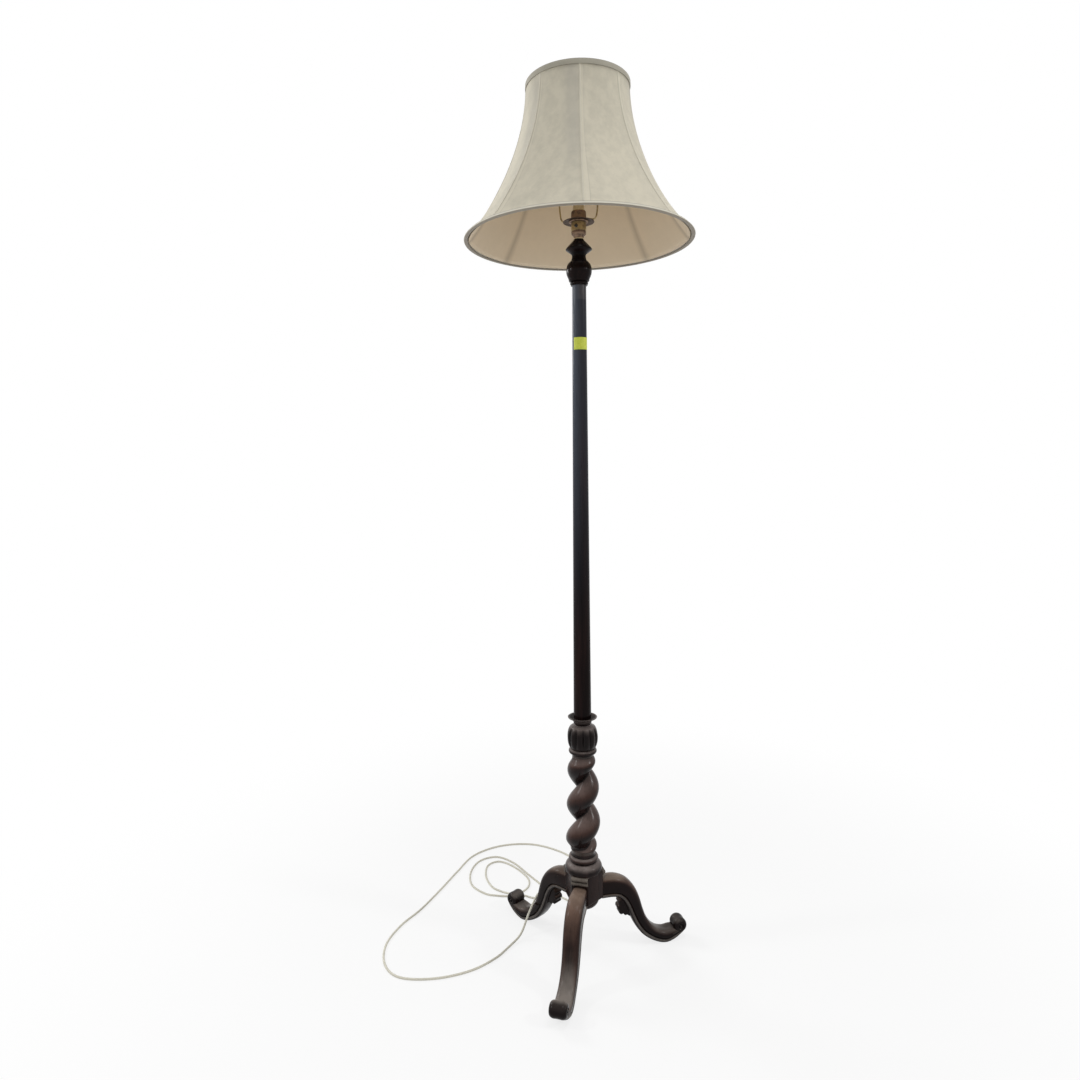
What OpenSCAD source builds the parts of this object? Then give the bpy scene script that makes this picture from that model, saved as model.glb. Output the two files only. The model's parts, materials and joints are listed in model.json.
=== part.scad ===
// Standard lamp with three scroll legs, a single barley-twist stem and a bell shade.
// Millimetres, +Z up, origin on the floor under the stem. The front leg points along -Y.

/* [Legs and hub] */
// Distance from the stem's axis to the centre of each toe scroll
toe_reach = 224; // [215:1:232]
// Radius of the round toe scroll
toe_scroll_r = 16.5; // [14:0.5:17]
// Width of the toe scroll across the leg
toe_scroll_w = 40; // [34:1:44]
// Width of a leg at its knee
leg_w = 36; // [30:1:37]
// Distance from the axis to the hub faces that carry the legs
hub_leg_face = 38.5; // [37:0.5:40]
// Distance from the axis to the three plain hub flats between the legs
hub_flat = 35; // [33:0.5:37]
// Height of the hub's flat lower edge above the floor
hub_low = 132; // [128:1:134]
// Height of the hub's top above the floor
hub_top = 196; // [194:1:198]

/* [Stem] */
// Height where the barley twist starts
twist_low = 245; // [240:1:250]
// Height where the barley twist ends
twist_high = 452; // [446:1:456]
// Rise of the twist in one full turn
twist_pitch = 77; // [70:1:85]
// Radius of the twist's crest at its foot
twist_crest = 38.5; // [34:0.5:40]
// Height of the top of the carved lotus section, where the plain shaft starts
shaft_low = 539; // [535:1:545]
// Height of the plain shaft's upper end
shaft_high = 1432; // [1420:1:1440]
// Radius of the shaft at its lower end
shaft_r_low = 18.8; // [17:0.1:20]
// Radius of the shaft at its upper end
shaft_r_high = 14.2; // [13:0.1:16]
// Height of the top of the wooden stem
stem_top = 1521.6; // [1518:0.2:1524]
// Radius of the hole bored down the stem for the flex
flex_bore_r = 5; // [4:0.25:5.5]

/* [Lampholder and carrier] */
// Outer radius of the brass bayonet lampholder
holder_r = 15; // [14.5:0.1:15.5]
// Travel of the push-bar switch
switch_travel = 5; // [3:0.5:6]
// Height of the carrier's top ring above its base plate
carrier_rise = 200; // [190:1:205]
// Radius of the carrier's top ring
carrier_ring_r = 50; // [46:1:52]
// Radius of the brass carrier wire
carrier_wire_r = 1.6; // [1.4:0.1:1.8]

/* [Bulb] */
// Largest radius of the glass bulb
bulb_r = 30; // [25:1:32]

/* [Shade] */
// Radius of the shade's bottom ring, 9 inches
shade_r_low = 228.6; // [220:0.1:235]
// Radius of the shade's top ring
shade_r_high = 101.4; // [100:0.1:106]
// Height of the shade's lower rim above the floor
shade_low = 1516; // [1512:1:1520]
// Height of the shade's upper rim above the floor
shade_high = 1813; // [1808:1:1818]
// How strongly the bell curve flares: 1 is a straight cone
shade_flare = 1.9; // [1.5:0.05:2.2]
// Number of fabric panels, and of frame ribs under their seams
shade_panels = 8; // [6:2:12]

/* [Flex and plug] */
// Diameter of the flex
flex_d = 5; // [4.5:0.1:5.2]
// Side of the square plug body
plug_w = 50; // [48:1:52]

/* [Hidden] */

$fn = 64;
wood = "#3a2420";
brass = "#8a7440";
old_brass = "#6b4636";
cream = "#c9c4ae";
tan_cloth = "#a0907a";
wire_white = "#d8d4c8";
black = "#151212";
flex_white = "#e6e2d6";
slack = 0.2;                       // glue gap round a spigot or dowel
leg_turns = [-90, 30, 150];        // directions of the three legs

// ---- hub levels
outlet_z = 150;                    // height of the flex outlet in the rear hub flat
socket_r = 12;                     // spigot of the base collar in the hub
socket_low = 164;
spigot_r = 7.5;                    // spigots at both ends of the twist
spigot_h = 14;
shaft_tenon_r = 9;
shaft_tenon_h = 30;
top_tenon_r = 8;
top_tenon_h = 24;
dowel_r = 4;
dowel_l = 36;
dowel_levels = [132, 160];
bar_r = 6.5;                       // bar moulding over each leg
bar_w = 36;

// ---- lampholder levels, from the top of the wood upwards
washer_h = 2.4;
cap_low = stem_top + washer_h;
body_low = cap_low + 13;
plate_low = body_low + 20.4;       // underside of the carrier's base plate
plate_h = 1.6;
barrel_top = body_low + 39;
barrel_r = holder_r - 1.6;         // threaded upper part of the barrel
bayonet_r = 11.3;                  // bore that takes the bulb's 22 mm cap
switch_z = body_low + 5.5;
switch_bar_r = 2.2;
bulb_seat = body_low + 24.8;       // height of the bulb's two contacts
bulb_pin_z = bulb_seat + 7;
slot_low = bulb_pin_z - 3.2;       // floor of the bayonet slot
bayonet_turn = 18;
bulb_cap_top = bulb_seat + 25;
contact_gap = 9.6;                 // distance between the two sprung contacts
carrier_top = plate_low + carrier_rise;
ear_x = 28.5;                      // where an arm leaves the base plate
brim_r = 30.6;                     // outer edge of the base plate's brim

// ---- shade
pivot_z = carrier_top + 8.5;
rib_r = 1.3;
ring_wire_r = 1.5;
cloth_t = 0.8;
shade_h = shade_high - shade_low;
first_seam = -75;                  // direction of one seam, degrees

// ---- small helpers
function unit(v) = v / norm(v);
function blend(a, b, t) = a + (b - a) * t;
// Point on a smooth curve through the points p, at place u counted in points.
function smooth_at(p, u) =
    let (n = len(p) - 1,
         i = min(floor(u), n - 1),
         t = u - i,
         a = p[max(i - 1, 0)],
         b = p[i],
         c = p[i + 1],
         d = p[min(i + 2, n)])
    0.5 * (2 * b + (c - a) * t + (2 * a - 5 * b + 4 * c - d) * t * t
        + (3 * b - a - 3 * c + d) * t * t * t);
function smooth_path(p, steps) =
    [for (k = [0 : (len(p) - 1) * steps]) smooth_at(p, k / steps)];
function heading(p, i) =
    unit(p[min(i + 1, len(p) - 1)] - p[max(i - 1, 0)]);
// Rounded-square point: fuller than an ellipse for small powers.
function full_round(a, power) =
    [sign(cos(a)) * pow(abs(cos(a)), power), sign(sin(a)) * pow(abs(sin(a)), power)];
// Radius of the shade's outer face at height z.
function shade_r(z) =
    shade_r_high + (shade_r_low - shade_r_high)
        * pow((shade_high - z) / shade_h, shade_flare);

// Closed skin over rings that all hold the same number of points.
module skin(rings) {
    n = len(rings[0]);
    m = len(rings);
    points = [for (ring = rings) each ring];
    sides = [for (i = [0 : m - 2]) for (k = [0 : n - 1])
        let (a = i * n + k, b = i * n + (k + 1) % n)
        each [[a, b + n, b], [a, a + n, b + n]]];
    caps = [[for (k = [0 : n - 1]) k], [for (k = [n - 1 : -1 : 0]) (m - 1) * n + k]];
    polyhedron(points = points, faces = concat(sides, caps), convexity = 6);
}

// Round tube along a path. Nothing on the path may run parallel to ref.
module tube(path, r, sides, ref = [0, 0, 1]) {
    skin([for (i = [0 : len(path) - 1])
        let (t = heading(path, i), s = unit(cross(t, ref)), u = cross(t, s))
        [for (k = [0 : sides - 1])
            path[i] + r * (cos(360 * k / sides) * s + sin(360 * k / sides) * u)]]);
}

// Turned piece from [radius, height] points, with a straight bore.
module turned(outline, bore_r) {
    rotate_extrude()
        polygon(concat(
            [[bore_r, outline[0][1]]],
            outline,
            [[bore_r, outline[len(outline) - 1][1]]]));
}
// Half-round bead profile of a turning, from height a to b, standing r out from the axis.
function bead(r, a, b) =
    let (h = (b - a) / 2)
    [for (k = [-90 : 15 : 90]) [r - h + h * cos(k), a + h + h * sin(k)]];

module wire_ring(ring_r, wire_r, z) {
    translate([0, 0, z])
        rotate_extrude($fn = 96) translate([ring_r, 0]) circle(r = wire_r, $fn = 16);
}

module rod_y(x, z, r, y0, y1, facets = 64) {
    translate([x, y1, z]) rotate([90, 0, 0]) cylinder(r = r, h = y1 - y0, $fn = facets);
}

// ---- hub
// Corner between two faces, each given by the direction and distance of its normal.
function corner(a, da, b, db) =
    [(da * sin(b) - db * sin(a)) / sin(b - a), (db * cos(a) - da * cos(b)) / sin(b - a)];
hub_plan = [for (k = [0 : 5])
    let (even = k % 2 == 0)
    corner(-90 + 60 * k, even ? hub_leg_face : hub_flat,
           -30 + 60 * k, even ? hub_flat : hub_leg_face)];

module leg_dowel_bars(extra) {
    for (turn = leg_turns) rotate([0, 0, turn])
        for (z = dowel_levels)
            translate([hub_leg_face - dowel_l / 2 - extra, 0, z]) rotate([0, 90, 0])
                cylinder(r = dowel_r + extra, h = dowel_l + 2 * extra, $fn = 24);
}

module hub() {
    color(wood) difference() {
        union() {
            translate([0, 0, hub_low]) linear_extrude(hub_top - hub_low) polygon(hub_plan);
            rotate_extrude() polygon(concat(
                [[0, hub_low + 1], [0, hub_low - 20]],
                [for (k = [0 : 15 : 90]) [14 + 20 * sin(k), hub_low - 20 * cos(k)]],
                [[34, hub_low + 1]]));
            for (turn = leg_turns) rotate([0, 0, turn])
                translate([hub_leg_face, bar_w / 2, hub_top - bar_r - 0.5])
                    rotate([90, 0, 0]) cylinder(r = bar_r, h = bar_w, $fn = 32);
        }
        translate([0, 0, socket_low - 2]) cylinder(r = socket_r + slack, h = 60);
        translate([0, 0, outlet_z - flex_bore_r]) cylinder(r = flex_bore_r, h = 60);
        rod_y(0, outlet_z, flex_bore_r, 0, 60);
        rod_y(0, outlet_z, 7, hub_flat - 5, 60);
        leg_dowel_bars(slack);
    }
}

// ---- legs: stations are [distance out, height, half depth, half width]
leg_line = [
    [hub_leg_face, 147, 29, leg_w / 2 - 2],
    [50, 147, 27.5, leg_w / 2 - 1],
    [68, 147, 24.5, leg_w / 2],
    [86, 141, 22, leg_w / 2],
    [101, 126, 19.5, leg_w / 2],
    [111, 106, 18, leg_w / 2],
    [119, 83, 16.8, leg_w / 2 - 0.2],
    [129, 59, 15.8, leg_w / 2 - 0.3],
    [144, 37, 15, leg_w / 2 - 0.3],
    [164, 21, 14.2, leg_w / 2 - 0.2],
    [186, 13, 14.4, leg_w / 2],
    [206, 15, 13.6, leg_w / 2 + 0.3],
    [toe_reach - 4, 23, 11, leg_w / 2 + 0.8]
];
leg_sides = 16;

module leg_shape() {
    path = smooth_path(leg_line, 3);
    last = len(path) - 1;
    skin([for (i = [0 : last])
        let (here = path[i],
             a = path[max(i - 1, 0)],
             b = path[min(i + 1, last)],
             dir = i == 0 ? [1, 0] : unit([b[0] - a[0], b[1] - a[1]]))
        [for (k = [0 : leg_sides - 1])
            let (q = full_round(360 * k / leg_sides, 0.7), d = here[2] * q[1])
            [here[0] - dir[1] * d, here[3] * q[0], max(here[1] + dir[0] * d, 0)]]]);
}

module leaf_spur() {
    // Carved leaf that curls out behind the knee.
    translate([0, 11, 0]) rotate([90, 0, 0]) linear_extrude(22)
        polygon(concat(
            [[100, 128], [88, 122]],
            [for (k = [60 : 20 : 220]) [84 + 9 * cos(k), 104 + 14 * sin(k)]],
            [[88, 80], [100, 86], [110, 70]]));
}

module leg(turn) {
    color(wood) difference() {
        rotate([0, 0, turn]) union() {
            leg_shape();
            leaf_spur();
            translate([toe_reach, toe_scroll_w / 2, 32])
                rotate([90, 0, 0]) cylinder(r = toe_scroll_r, h = toe_scroll_w, $fn = 40);
        }
        leg_dowel_bars(slack);
    }
}

module leg_front() {
    leg(leg_turns[0]);
}
module leg_right() {
    leg(leg_turns[1]);
}
module leg_left() {
    leg(leg_turns[2]);
}

module leg_dowels() {
    color("tan") leg_dowel_bars(0);
}

// ---- stem
module base_collar() {
    color(wood) turned(concat(
        [[socket_r, socket_low], [socket_r, hub_top], [38, hub_top]],
        [for (k = [0 : 15 : 75]) [32 + 8.5 * cos(k), hub_top + 3 + 14 * sin(k)]],
        [[30, 216]],
        bead(32.2, 217, 230),
        [[26, 232], [25, 236], [28, twist_low], [spigot_r, twist_low],
         [spigot_r, twist_low + spigot_h]]), flex_bore_r);
}

// Twist: at every height the outline swings from a deep groove to a full crest, and the
// crest turns with height. Both fade into a round neck at the two ends.
twist_sides = 40;
twist_steps = 30;
twist_phase = 12.85 - 360 * 383 / twist_pitch;
function twist_fade(t) = min(1, t / 0.09, (1 - t) / 0.09);
function twist_r(t, a) =
    let (crest = blend(twist_crest, twist_crest - 6, t),
         groove = blend(15, 12, t),
         neck = blend(28, 23, t),
         wave = abs(cos(a / 2)),
         full = groove + (crest - groove) * wave)
    blend(neck, full, sin(90 * twist_fade(t)));
module twist_section() {
    outer = [for (i = [0 : twist_steps])
        let (t = i / twist_steps, z = blend(twist_low, twist_high, t))
        [for (k = [0 : twist_sides - 1])
            let (a = 360 * k / twist_sides,
                 turn = twist_phase + 360 * z / twist_pitch,
                 r = twist_r(t, a - turn))
            [r * cos(a), r * sin(a), z]]];
    wide = spigot_r + slack;
    low = twist_low + spigot_h + 1;
    high = twist_high - spigot_h - 1;
    color(wood) difference() {
        skin(outer);
        rotate_extrude($fn = 48) polygon([
            [0, twist_low - 1], [wide, twist_low - 1], [wide, low], [flex_bore_r, low],
            [flex_bore_r, high], [wide, high], [wide, twist_high + 1], [0, twist_high + 1]]);
    }
}

module lotus_section() {
    color(wood) difference() {
        turned(concat(
            [[spigot_r, twist_high - spigot_h], [spigot_r, twist_high], [23, twist_high],
             [22.5, 457]],
            bead(30.2, 458.5, 469.5),
            [[23.5, 470.5]],
            [for (k = [-60 : 15 : 60]) [20 + 13.1 * cos(k), 494 + 27 * sin(k)]],
            [[17.5, 520], [17.5, 522]],
            bead(19.7, 522.5, 533),
            [[19, 534], [30.5, shaft_low - 2.5], [31.3, shaft_low - 1], [31, shaft_low],
             [24, shaft_low - 2], [shaft_r_low + 1, shaft_low - 2.5],
             [shaft_r_low + 1, shaft_low - 3]]), flex_bore_r);
        translate([0, 0, shaft_low - 3 - shaft_tenon_h - 1])
            cylinder(r = shaft_tenon_r + slack, h = 60);
    }
}

module shaft() {
    foot = shaft_low - 3;
    color(wood) turned([
        [shaft_tenon_r, foot - shaft_tenon_h], [shaft_tenon_r, foot],
        [shaft_r_low, foot], [shaft_r_high, shaft_high],
        [top_tenon_r, shaft_high], [top_tenon_r, shaft_high + top_tenon_h]], flex_bore_r);
}

module top_turning() {
    color(wood) difference() {
        turned(concat(
            [[17.4, shaft_high], [18.2, 1434], [18.2, 1438], [20.1, 1439.5], [20.8, 1444]],
            [for (k = [-40 : 20 : 60]) [16.2 + 9.6 * cos(k), 1461 + 17 * sin(k)]],
            [[15.5, 1482], [13.7, 1487], [13.7, 1492], [17, 1495], [26.3, 1501],
             [26.5, 1503], [18.5, 1512], [11, 1519.5], [10.1, stem_top]]), flex_bore_r);
        translate([0, 0, shaft_high - 1])
            cylinder(r = top_tenon_r + slack, h = top_tenon_h + 2);
        translate([0, 0, stem_top - 20]) cylinder(r = 6.5, h = 30);
    }
}

module blank_label() {
    color("#c9d24a") translate([0, 0, 1305]) rotate([0, 0, -125])
        rotate_extrude(angle = 125) translate([15.1, 0]) square([0.4, 24]);
}

// ---- brass fittings
module threaded_nipple() {
    color(brass) translate([0, 0, stem_top - 19]) difference() {
        cylinder(r = 6.3, h = 19 + washer_h + 9);
        translate([0, 0, -1]) cylinder(r = 4, h = 60);
    }
}

module seating_washer() {
    color("#b9ab86") translate([0, 0, stem_top]) difference() {
        cylinder(r = 9.8, h = washer_h);
        translate([0, 0, -1]) cylinder(r = 6.5, h = 10);
    }
}

module lampholder_cap() {
    color(old_brass) rotate_extrude() polygon([
        [6.5, cap_low], [9.6, cap_low], [10.2, cap_low + 3], [13.6, cap_low + 6],
        [holder_r - 0.4, cap_low + 9], [holder_r - 0.4, body_low],
        [holder_r - 1.6, body_low], [holder_r - 1.6, cap_low + 10],
        [9, cap_low + 5], [6.5, cap_low + 5]]);
}

module lampholder_body() {
    color(brass) difference() {
        rotate_extrude() polygon([
            [holder_r - 1.2, body_low], [holder_r, body_low + 1],
            [holder_r, body_low + 16], [barrel_r, body_low + 16.5],
            [barrel_r, barrel_top], [bayonet_r, barrel_top],
            [bayonet_r, body_low + 20], [holder_r - 1.2, body_low + 15]]);
        rod_y(0, switch_z, switch_bar_r + 0.1, -30, 30);
        // Bayonet slots: in from the top, round by a small turn, and up into a pocket.
        for (side = [0, 180]) rotate([0, 0, side]) {
            translate([0, -1.5, slot_low]) cube([30, 3, 40]);
            for (turn = [-9, -bayonet_turn]) rotate([0, 0, turn])
                translate([0, -1.5, slot_low]) cube([30, 3, 2.6]);
            rotate([0, 0, -bayonet_turn])
                translate([0, -1.3, slot_low]) cube([30, 2.6, 4.3]);
        }
    }
}

module insulator() {
    color(black) difference() {
        union() {
            translate([0, 0, body_low + 2]) cylinder(r = holder_r - 2, h = 12.6);
            translate([0, 0, body_low + 14.6]) cylinder(r = 10.8, h = 5.4);
        }
        for (x = [-1, 1]) translate([x * contact_gap / 2, 0, body_low + 13])
            cylinder(r = 2.3, h = 20, $fn = 24);
        translate([-2.6, -30, switch_z - 2.6]) cube([5.2, 60, 5.2]);
        for (x = [-1, 1]) translate([x * 9.4, 0, body_low + 1])
            cylinder(r = 1.7, h = 6, $fn = 24);
    }
}

module terminal_screws() {
    color(brass) for (x = [-1, 1]) translate([x * 9.4, 0, body_low + 0.6]) {
        cylinder(r = 1.5, h = 5, $fn = 24);
        cylinder(r = 2.6, h = 1.3, $fn = 24);
    }
}

module plunger_springs() {
    // The two small compression springs, drawn as the sleeves that they fill.
    color("silver") for (x = [-1, 1]) translate([x * contact_gap / 2, 0, body_low + 13])
        difference() {
            cylinder(r = 2.1, h = 4.5, $fn = 24);
            translate([0, 0, -1]) cylinder(r = 1.5, h = 10, $fn = 24);
        }
}

module contact_plungers() {
    color(brass) for (x = [-1, 1]) translate([x * contact_gap / 2, 0, body_low + 17.5]) {
        cylinder(r = 2.2, h = 1.5, $fn = 24);
        cylinder(r = 1.6, h = bulb_seat - body_low - 17.5, $fn = 24);
    }
}

module switch_bar() {
    reach = holder_r + 1;
    color(brass) rod_y(0, switch_z, switch_bar_r, -reach - switch_travel, reach);
    color(black) {
        rod_y(0, switch_z, 3.5, -reach - switch_travel - 4, -reach - switch_travel);
        rod_y(0, switch_z, 3.5, reach, reach + 3);
    }
}

module lower_shade_ring() {
    low = plate_low - 3.4;
    color(brass) rotate_extrude() polygon([
        [barrel_r + 0.1, low], [18.7, low], [19.5, low + 0.8],
        [19.5, plate_low - 0.8], [18.7, plate_low], [barrel_r + 0.1, plate_low]]);
}

module upper_shade_ring() {
    top = barrel_top - 1;
    color(brass) rotate_extrude() polygon(concat(
        [[barrel_r + 0.1, plate_low + plate_h], [19, plate_low + plate_h],
         [19, plate_low + plate_h + 1.4], [holder_r, plate_low + plate_h + 2.4]],
        [for (k = [0 : 22.5 : 90]) [holder_r - 1 + cos(k), top - 2 + 2 * sin(k)]],
        [[barrel_r + 0.1, top]]));
}

// Flat in the middle, where the two rings grip it, with a brim that slopes down all round.
function brim_z(r) = plate_low + plate_h - (r - 20) * 0.33;
module carrier_plate() {
    color(brass) rotate_extrude($fn = 96) polygon([
        [barrel_r + 0.2, plate_low], [20, plate_low], [brim_r, brim_z(brim_r) - 1.1],
        [brim_r + 0.6, brim_z(brim_r) - 0.4], [brim_r, brim_z(brim_r) + 0.1],
        [20, plate_low + plate_h], [barrel_r + 0.2, plate_low + plate_h]]);
}

// One arm in the XZ plane: down along the brim, then bowed out and up to the ring.
arm_line = [
    [ear_x - 4.5, 0, brim_z(ear_x - 4.5) + carrier_wire_r + 0.54],
    [ear_x, 0, brim_z(ear_x) + carrier_wire_r + 0.54],
    [33.6, 0, plate_low + 2.4],
    [36.8, 0, plate_low + 10],
    [38.8, 0, plate_low + 28],
    [41, 0, plate_low + 60],
    [45, 0, plate_low + 120],
    [49, 0, carrier_top - 14],
    [carrier_ring_r, 0, carrier_top - 2]
];
module carrier_arms() {
    color(brass) for (side = [0, 180]) rotate([0, 0, side])
        tube(smooth_path(arm_line, 3), carrier_wire_r, 8, [0, 1, 0]);
}

module carrier_ring() {
    color(brass) wire_ring(carrier_ring_r, 1.8, carrier_top);
}

// ---- bulb
module bulb_cap() {
    color("#9a8a5a") difference() {
        union() {
            translate([0, 0, bulb_seat + 2]) cylinder(r = 11, h = 23);
            for (side = [0, 180]) rotate([0, 0, side - bayonet_turn])
                translate([10.5, 0, bulb_pin_z])
                rotate([0, 90, 0]) cylinder(r = 1, h = 2.4, $fn = 24);
        }
        translate([0, 0, bulb_seat + 3]) cylinder(r = 10.4, h = 40);
    }
}

module bulb_contacts() {
    color("#6d6d6d") for (x = [-1, 1]) translate([x * contact_gap / 2, 0, bulb_seat])
        cylinder(r = 2.6, h = 2, $fn = 24);
}

module bulb_glass() {
    centre = bulb_cap_top + 50;
    color("#e8e6df", 0.9) difference() {
        rotate_extrude() polygon(concat(
            [[0, bulb_cap_top - 8], [10.2, bulb_cap_top - 8], [10.2, bulb_cap_top],
             [13.6, bulb_cap_top + 2], [15.4, bulb_cap_top + 14],
             [21, bulb_cap_top + 28]],
            [for (k = [-38 : 8 : 90]) [bulb_r * cos(k), centre + bulb_r * sin(k)]],
            [[0, centre + bulb_r]]));
        rotate_extrude() polygon(concat(
            [[0, bulb_cap_top - 7], [9.4, bulb_cap_top - 7], [9.4, bulb_cap_top],
             [12.8, bulb_cap_top + 2], [14.6, bulb_cap_top + 14],
             [20.2, bulb_cap_top + 28]],
            [for (k = [-38 : 8 : 90])
                [(bulb_r - 0.8) * cos(k), centre + (bulb_r - 0.8) * sin(k)]],
            [[0, centre + bulb_r - 0.8]]));
    }
}

// ---- shade fitting: a ring that sits over the carrier's ring, with two pivots
module fitter_ring() {
    low = carrier_top - 3;
    top = carrier_top + 3.4;
    out = carrier_ring_r + 3.6;
    color(wire_white) rotate_extrude($fn = 96) polygon([
        [out - 1.2, low], [out, low], [out, top], [carrier_ring_r - 3, top],
        [carrier_ring_r - 3, top - 1.2], [out - 1.2, top - 1.2]]);
    color(wire_white) for (side = [0, 180]) rotate([0, 0, side])
        difference() {
            translate([carrier_ring_r - 1, -4, top - 0.6]) cube([2, 8, pivot_z + 4.6 - top]);
            translate([carrier_ring_r - 2, 0, pivot_z]) rotate([0, 90, 0])
                cylinder(r = 1.3, h = 10, $fn = 24);
        }
}

module pivot_pins() {
    color("silver") for (side = [0, 180]) rotate([0, 0, side])
        translate([carrier_ring_r - 2.2, 0, pivot_z]) rotate([0, 90, 0]) {
            cylinder(r = 1.25, h = 8.6, $fn = 24);
            translate([0, 0, -0.8]) cylinder(r = 2.4, h = 0.8, $fn = 24);
            translate([0, 0, 8.6]) cylinder(r = 2.4, h = 0.8, $fn = 24);
        }
}

strut_spread = 22.5;
module straight_wire(a, b, r) {
    d = b - a;
    translate(a) rotate([0, acos(d[2] / norm(d)), atan2(d[1], d[0])])
        cylinder(r = r, h = norm(d), $fn = 16);
}
module gimbal_struts() {
    rim_r = shade_r_high - 5.6;
    eye_x = carrier_ring_r + 2.2;
    color(wire_white) for (side = [0, 180]) rotate([0, 0, side]) difference() {
        union() {
            translate([eye_x, 0, pivot_z]) rotate([0, 90, 0])
                cylinder(r = 4, h = 2.4, $fn = 32);
            for (s = [-1, 1]) straight_wire(
                [eye_x + 1.2, s * 2, pivot_z + 3],
                [rim_r * cos(strut_spread), s * rim_r * sin(strut_spread), shade_high - 5.2],
                1.2);
        }
        translate([eye_x - 1, 0, pivot_z]) rotate([0, 90, 0])
            cylinder(r = 1.3, h = 10, $fn = 24);
    }
}

// ---- shade frame and cloth
module shade_top_ring() {
    color(wire_white) wire_ring(shade_r_high - 3.4, ring_wire_r, shade_high - 3);
}

module shade_bottom_ring() {
    color(wire_white) wire_ring(shade_r_low - 6, ring_wire_r, shade_low + 3.2);
}

shade_rows = 20;
function shade_line(inset, from, to, rows) =
    [for (i = [0 : rows]) let (z = blend(from, to, i / rows)) [shade_r(z) - inset, z]];

module shade_ribs() {
    line = shade_line(3.4, shade_low + 8, shade_high - 4.7, 9);
    path = concat([[shade_r_low - 7.8, 0, shade_low + 5.5]], [for (p = line) [p[0], 0, p[1]]]);
    color(wire_white) for (i = [0 : shade_panels - 1])
        rotate([0, 0, first_seam + i * 360 / shade_panels])
            tube(path, rib_r, 6, [0, 1, 0]);
}

module cloth(outer, thick, low, high) {
    rotate_extrude($fn = 96) polygon(concat(
        shade_line(outer, low, high, shade_rows),
        [for (i = [shade_rows : -1 : 0])
            let (z = blend(low, high, i / shade_rows)) [shade_r(z) - outer - thick, z]]));
}

module shade_cover() {
    color(cream) cloth(0, cloth_t, shade_low + 1, shade_high - 1);
}

module shade_lining() {
    color(tan_cloth) cloth(5.4, 0.6, shade_low + 9, shade_high - 9);
}

module seam_tapes() {
    rows = 10;
    color(cream) for (i = [0 : shade_panels - 1])
        rotate([0, 0, first_seam + i * 360 / shade_panels])
            skin([for (k = [0 : rows])
                let (z = blend(shade_low + 10, shade_high - 11, k / rows), r = shade_r(z))
                [[r + 0.1, -2, z], [r + 0.7, -1.6, z], [r + 0.7, 1.6, z], [r + 0.1, 2, z]]]);
}

module rim_band(z0, z1, out) {
    r0 = shade_r(z0);
    r1 = shade_r(z1);
    rotate_extrude($fn = 96) polygon([
        [r0 + 0.1, z0], [r0 + out, z0], [r1 + out, z1], [r1 + 0.1, z1]]);
}

module top_trim() {
    color(cream) {
        rim_band(shade_high - 10, shade_high, 1.3);
        rotate_extrude($fn = 96) polygon([
            [shade_r_high - 6, shade_high - 0.9], [shade_r_high + 1.3, shade_high - 0.9],
            [shade_r_high + 1.3, shade_high], [shade_r_high - 6, shade_high]]);
    }
}

module bottom_trim() {
    color(cream) {
        rim_band(shade_low, shade_low + 9, 1.3);
        rotate_extrude($fn = 96) polygon([
            [shade_r_low - 9, shade_low], [shade_r_low + 1.3, shade_low],
            [shade_r_low + 1.3, shade_low + 0.9], [shade_r_low - 9, shade_low + 0.9]]);
    }
}

// ---- flex: down the bored stem, out of the rear hub flat, and free over the floor
flex_r = flex_d / 2;
outlet_y = hub_flat + 3;
flex_bend = 8;                     // bend of the flex inside the hub
module inner_flex() {
    low = outlet_z + flex_bend;
    color(flex_white) {
        translate([0, 0, low]) cylinder(r = flex_r, h = body_low - 0.6 - low, $fn = 24);
        translate([0, flex_bend, low]) rotate([0, 90, 0]) rotate([0, 0, -90])
            rotate_extrude(angle = 90) translate([flex_bend, 0]) circle(r = flex_r, $fn = 24);
        rod_y(0, outlet_z, flex_r, flex_bend, outlet_y, 24);
    }
}

module cord_grommet() {
    color(black) difference() {
        union() {
            rod_y(0, outlet_z, 6.8, hub_flat - 4.8, outlet_y);
            rod_y(0, outlet_z, 8.5, hub_flat + 0.2, outlet_y);
        }
        rod_y(0, outlet_z, flex_r + 0.3, 0, 60);
    }
}

// Route of the free flex over the floor, from the hub to the plug.
flex_route = [
    [0, 38.2, 150], [0, 54, 149], [-2, 76, 139], [-10, 98, 112], [-22, 120, 72],
    [-40, 142, 34], [-66, 164, 9], [-100, 186, 3], [-137, 206, 3], [-204, 259, 3],
    [-263, 307, 3], [-317, 325, 3], [-355, 294, 3], [-359, 236, 3], [-335, 180, 3],
    [-289, 152, 3], [-257, 151, 3], [-227, 157, 3], [-204, 176, 3], [-192, 212, 3],
    [-209, 251, 3], [-260, 291, 3], [-304, 304, 3], [-326, 276, 3], [-313, 226, 3],
    [-283, 186, 3], [-256, 171, 4], [-228, 160, 8], [-207, 160, 8.5], [-187, 165, 5],
    [-165, 158, 7], [-147, 139, 24], [-136, 108, 52], [-132, 70, 64.5], [-139, 36, 45],
    [-150, 10, 11], [-165, -28, 3], [-182, -74, 3], [-221, -127, 3], [-286, -169, 3],
    [-359, -184, 3], [-408, -154, 3], [-436, -93, 3], [-435, -21, 3], [-417, 49, 3],
    [-404, 141, 3], [-395, 227, 3], [-381, 317, 3], [-326, 384, 3], [-243, 414, 3],
    [-157, 396, 3], [-100, 354, 6], [-84.3, 331.8, 10], [-72, 316, 11], [-58.5, 298.7, 11]
];
flex_rings = 80;
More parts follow.
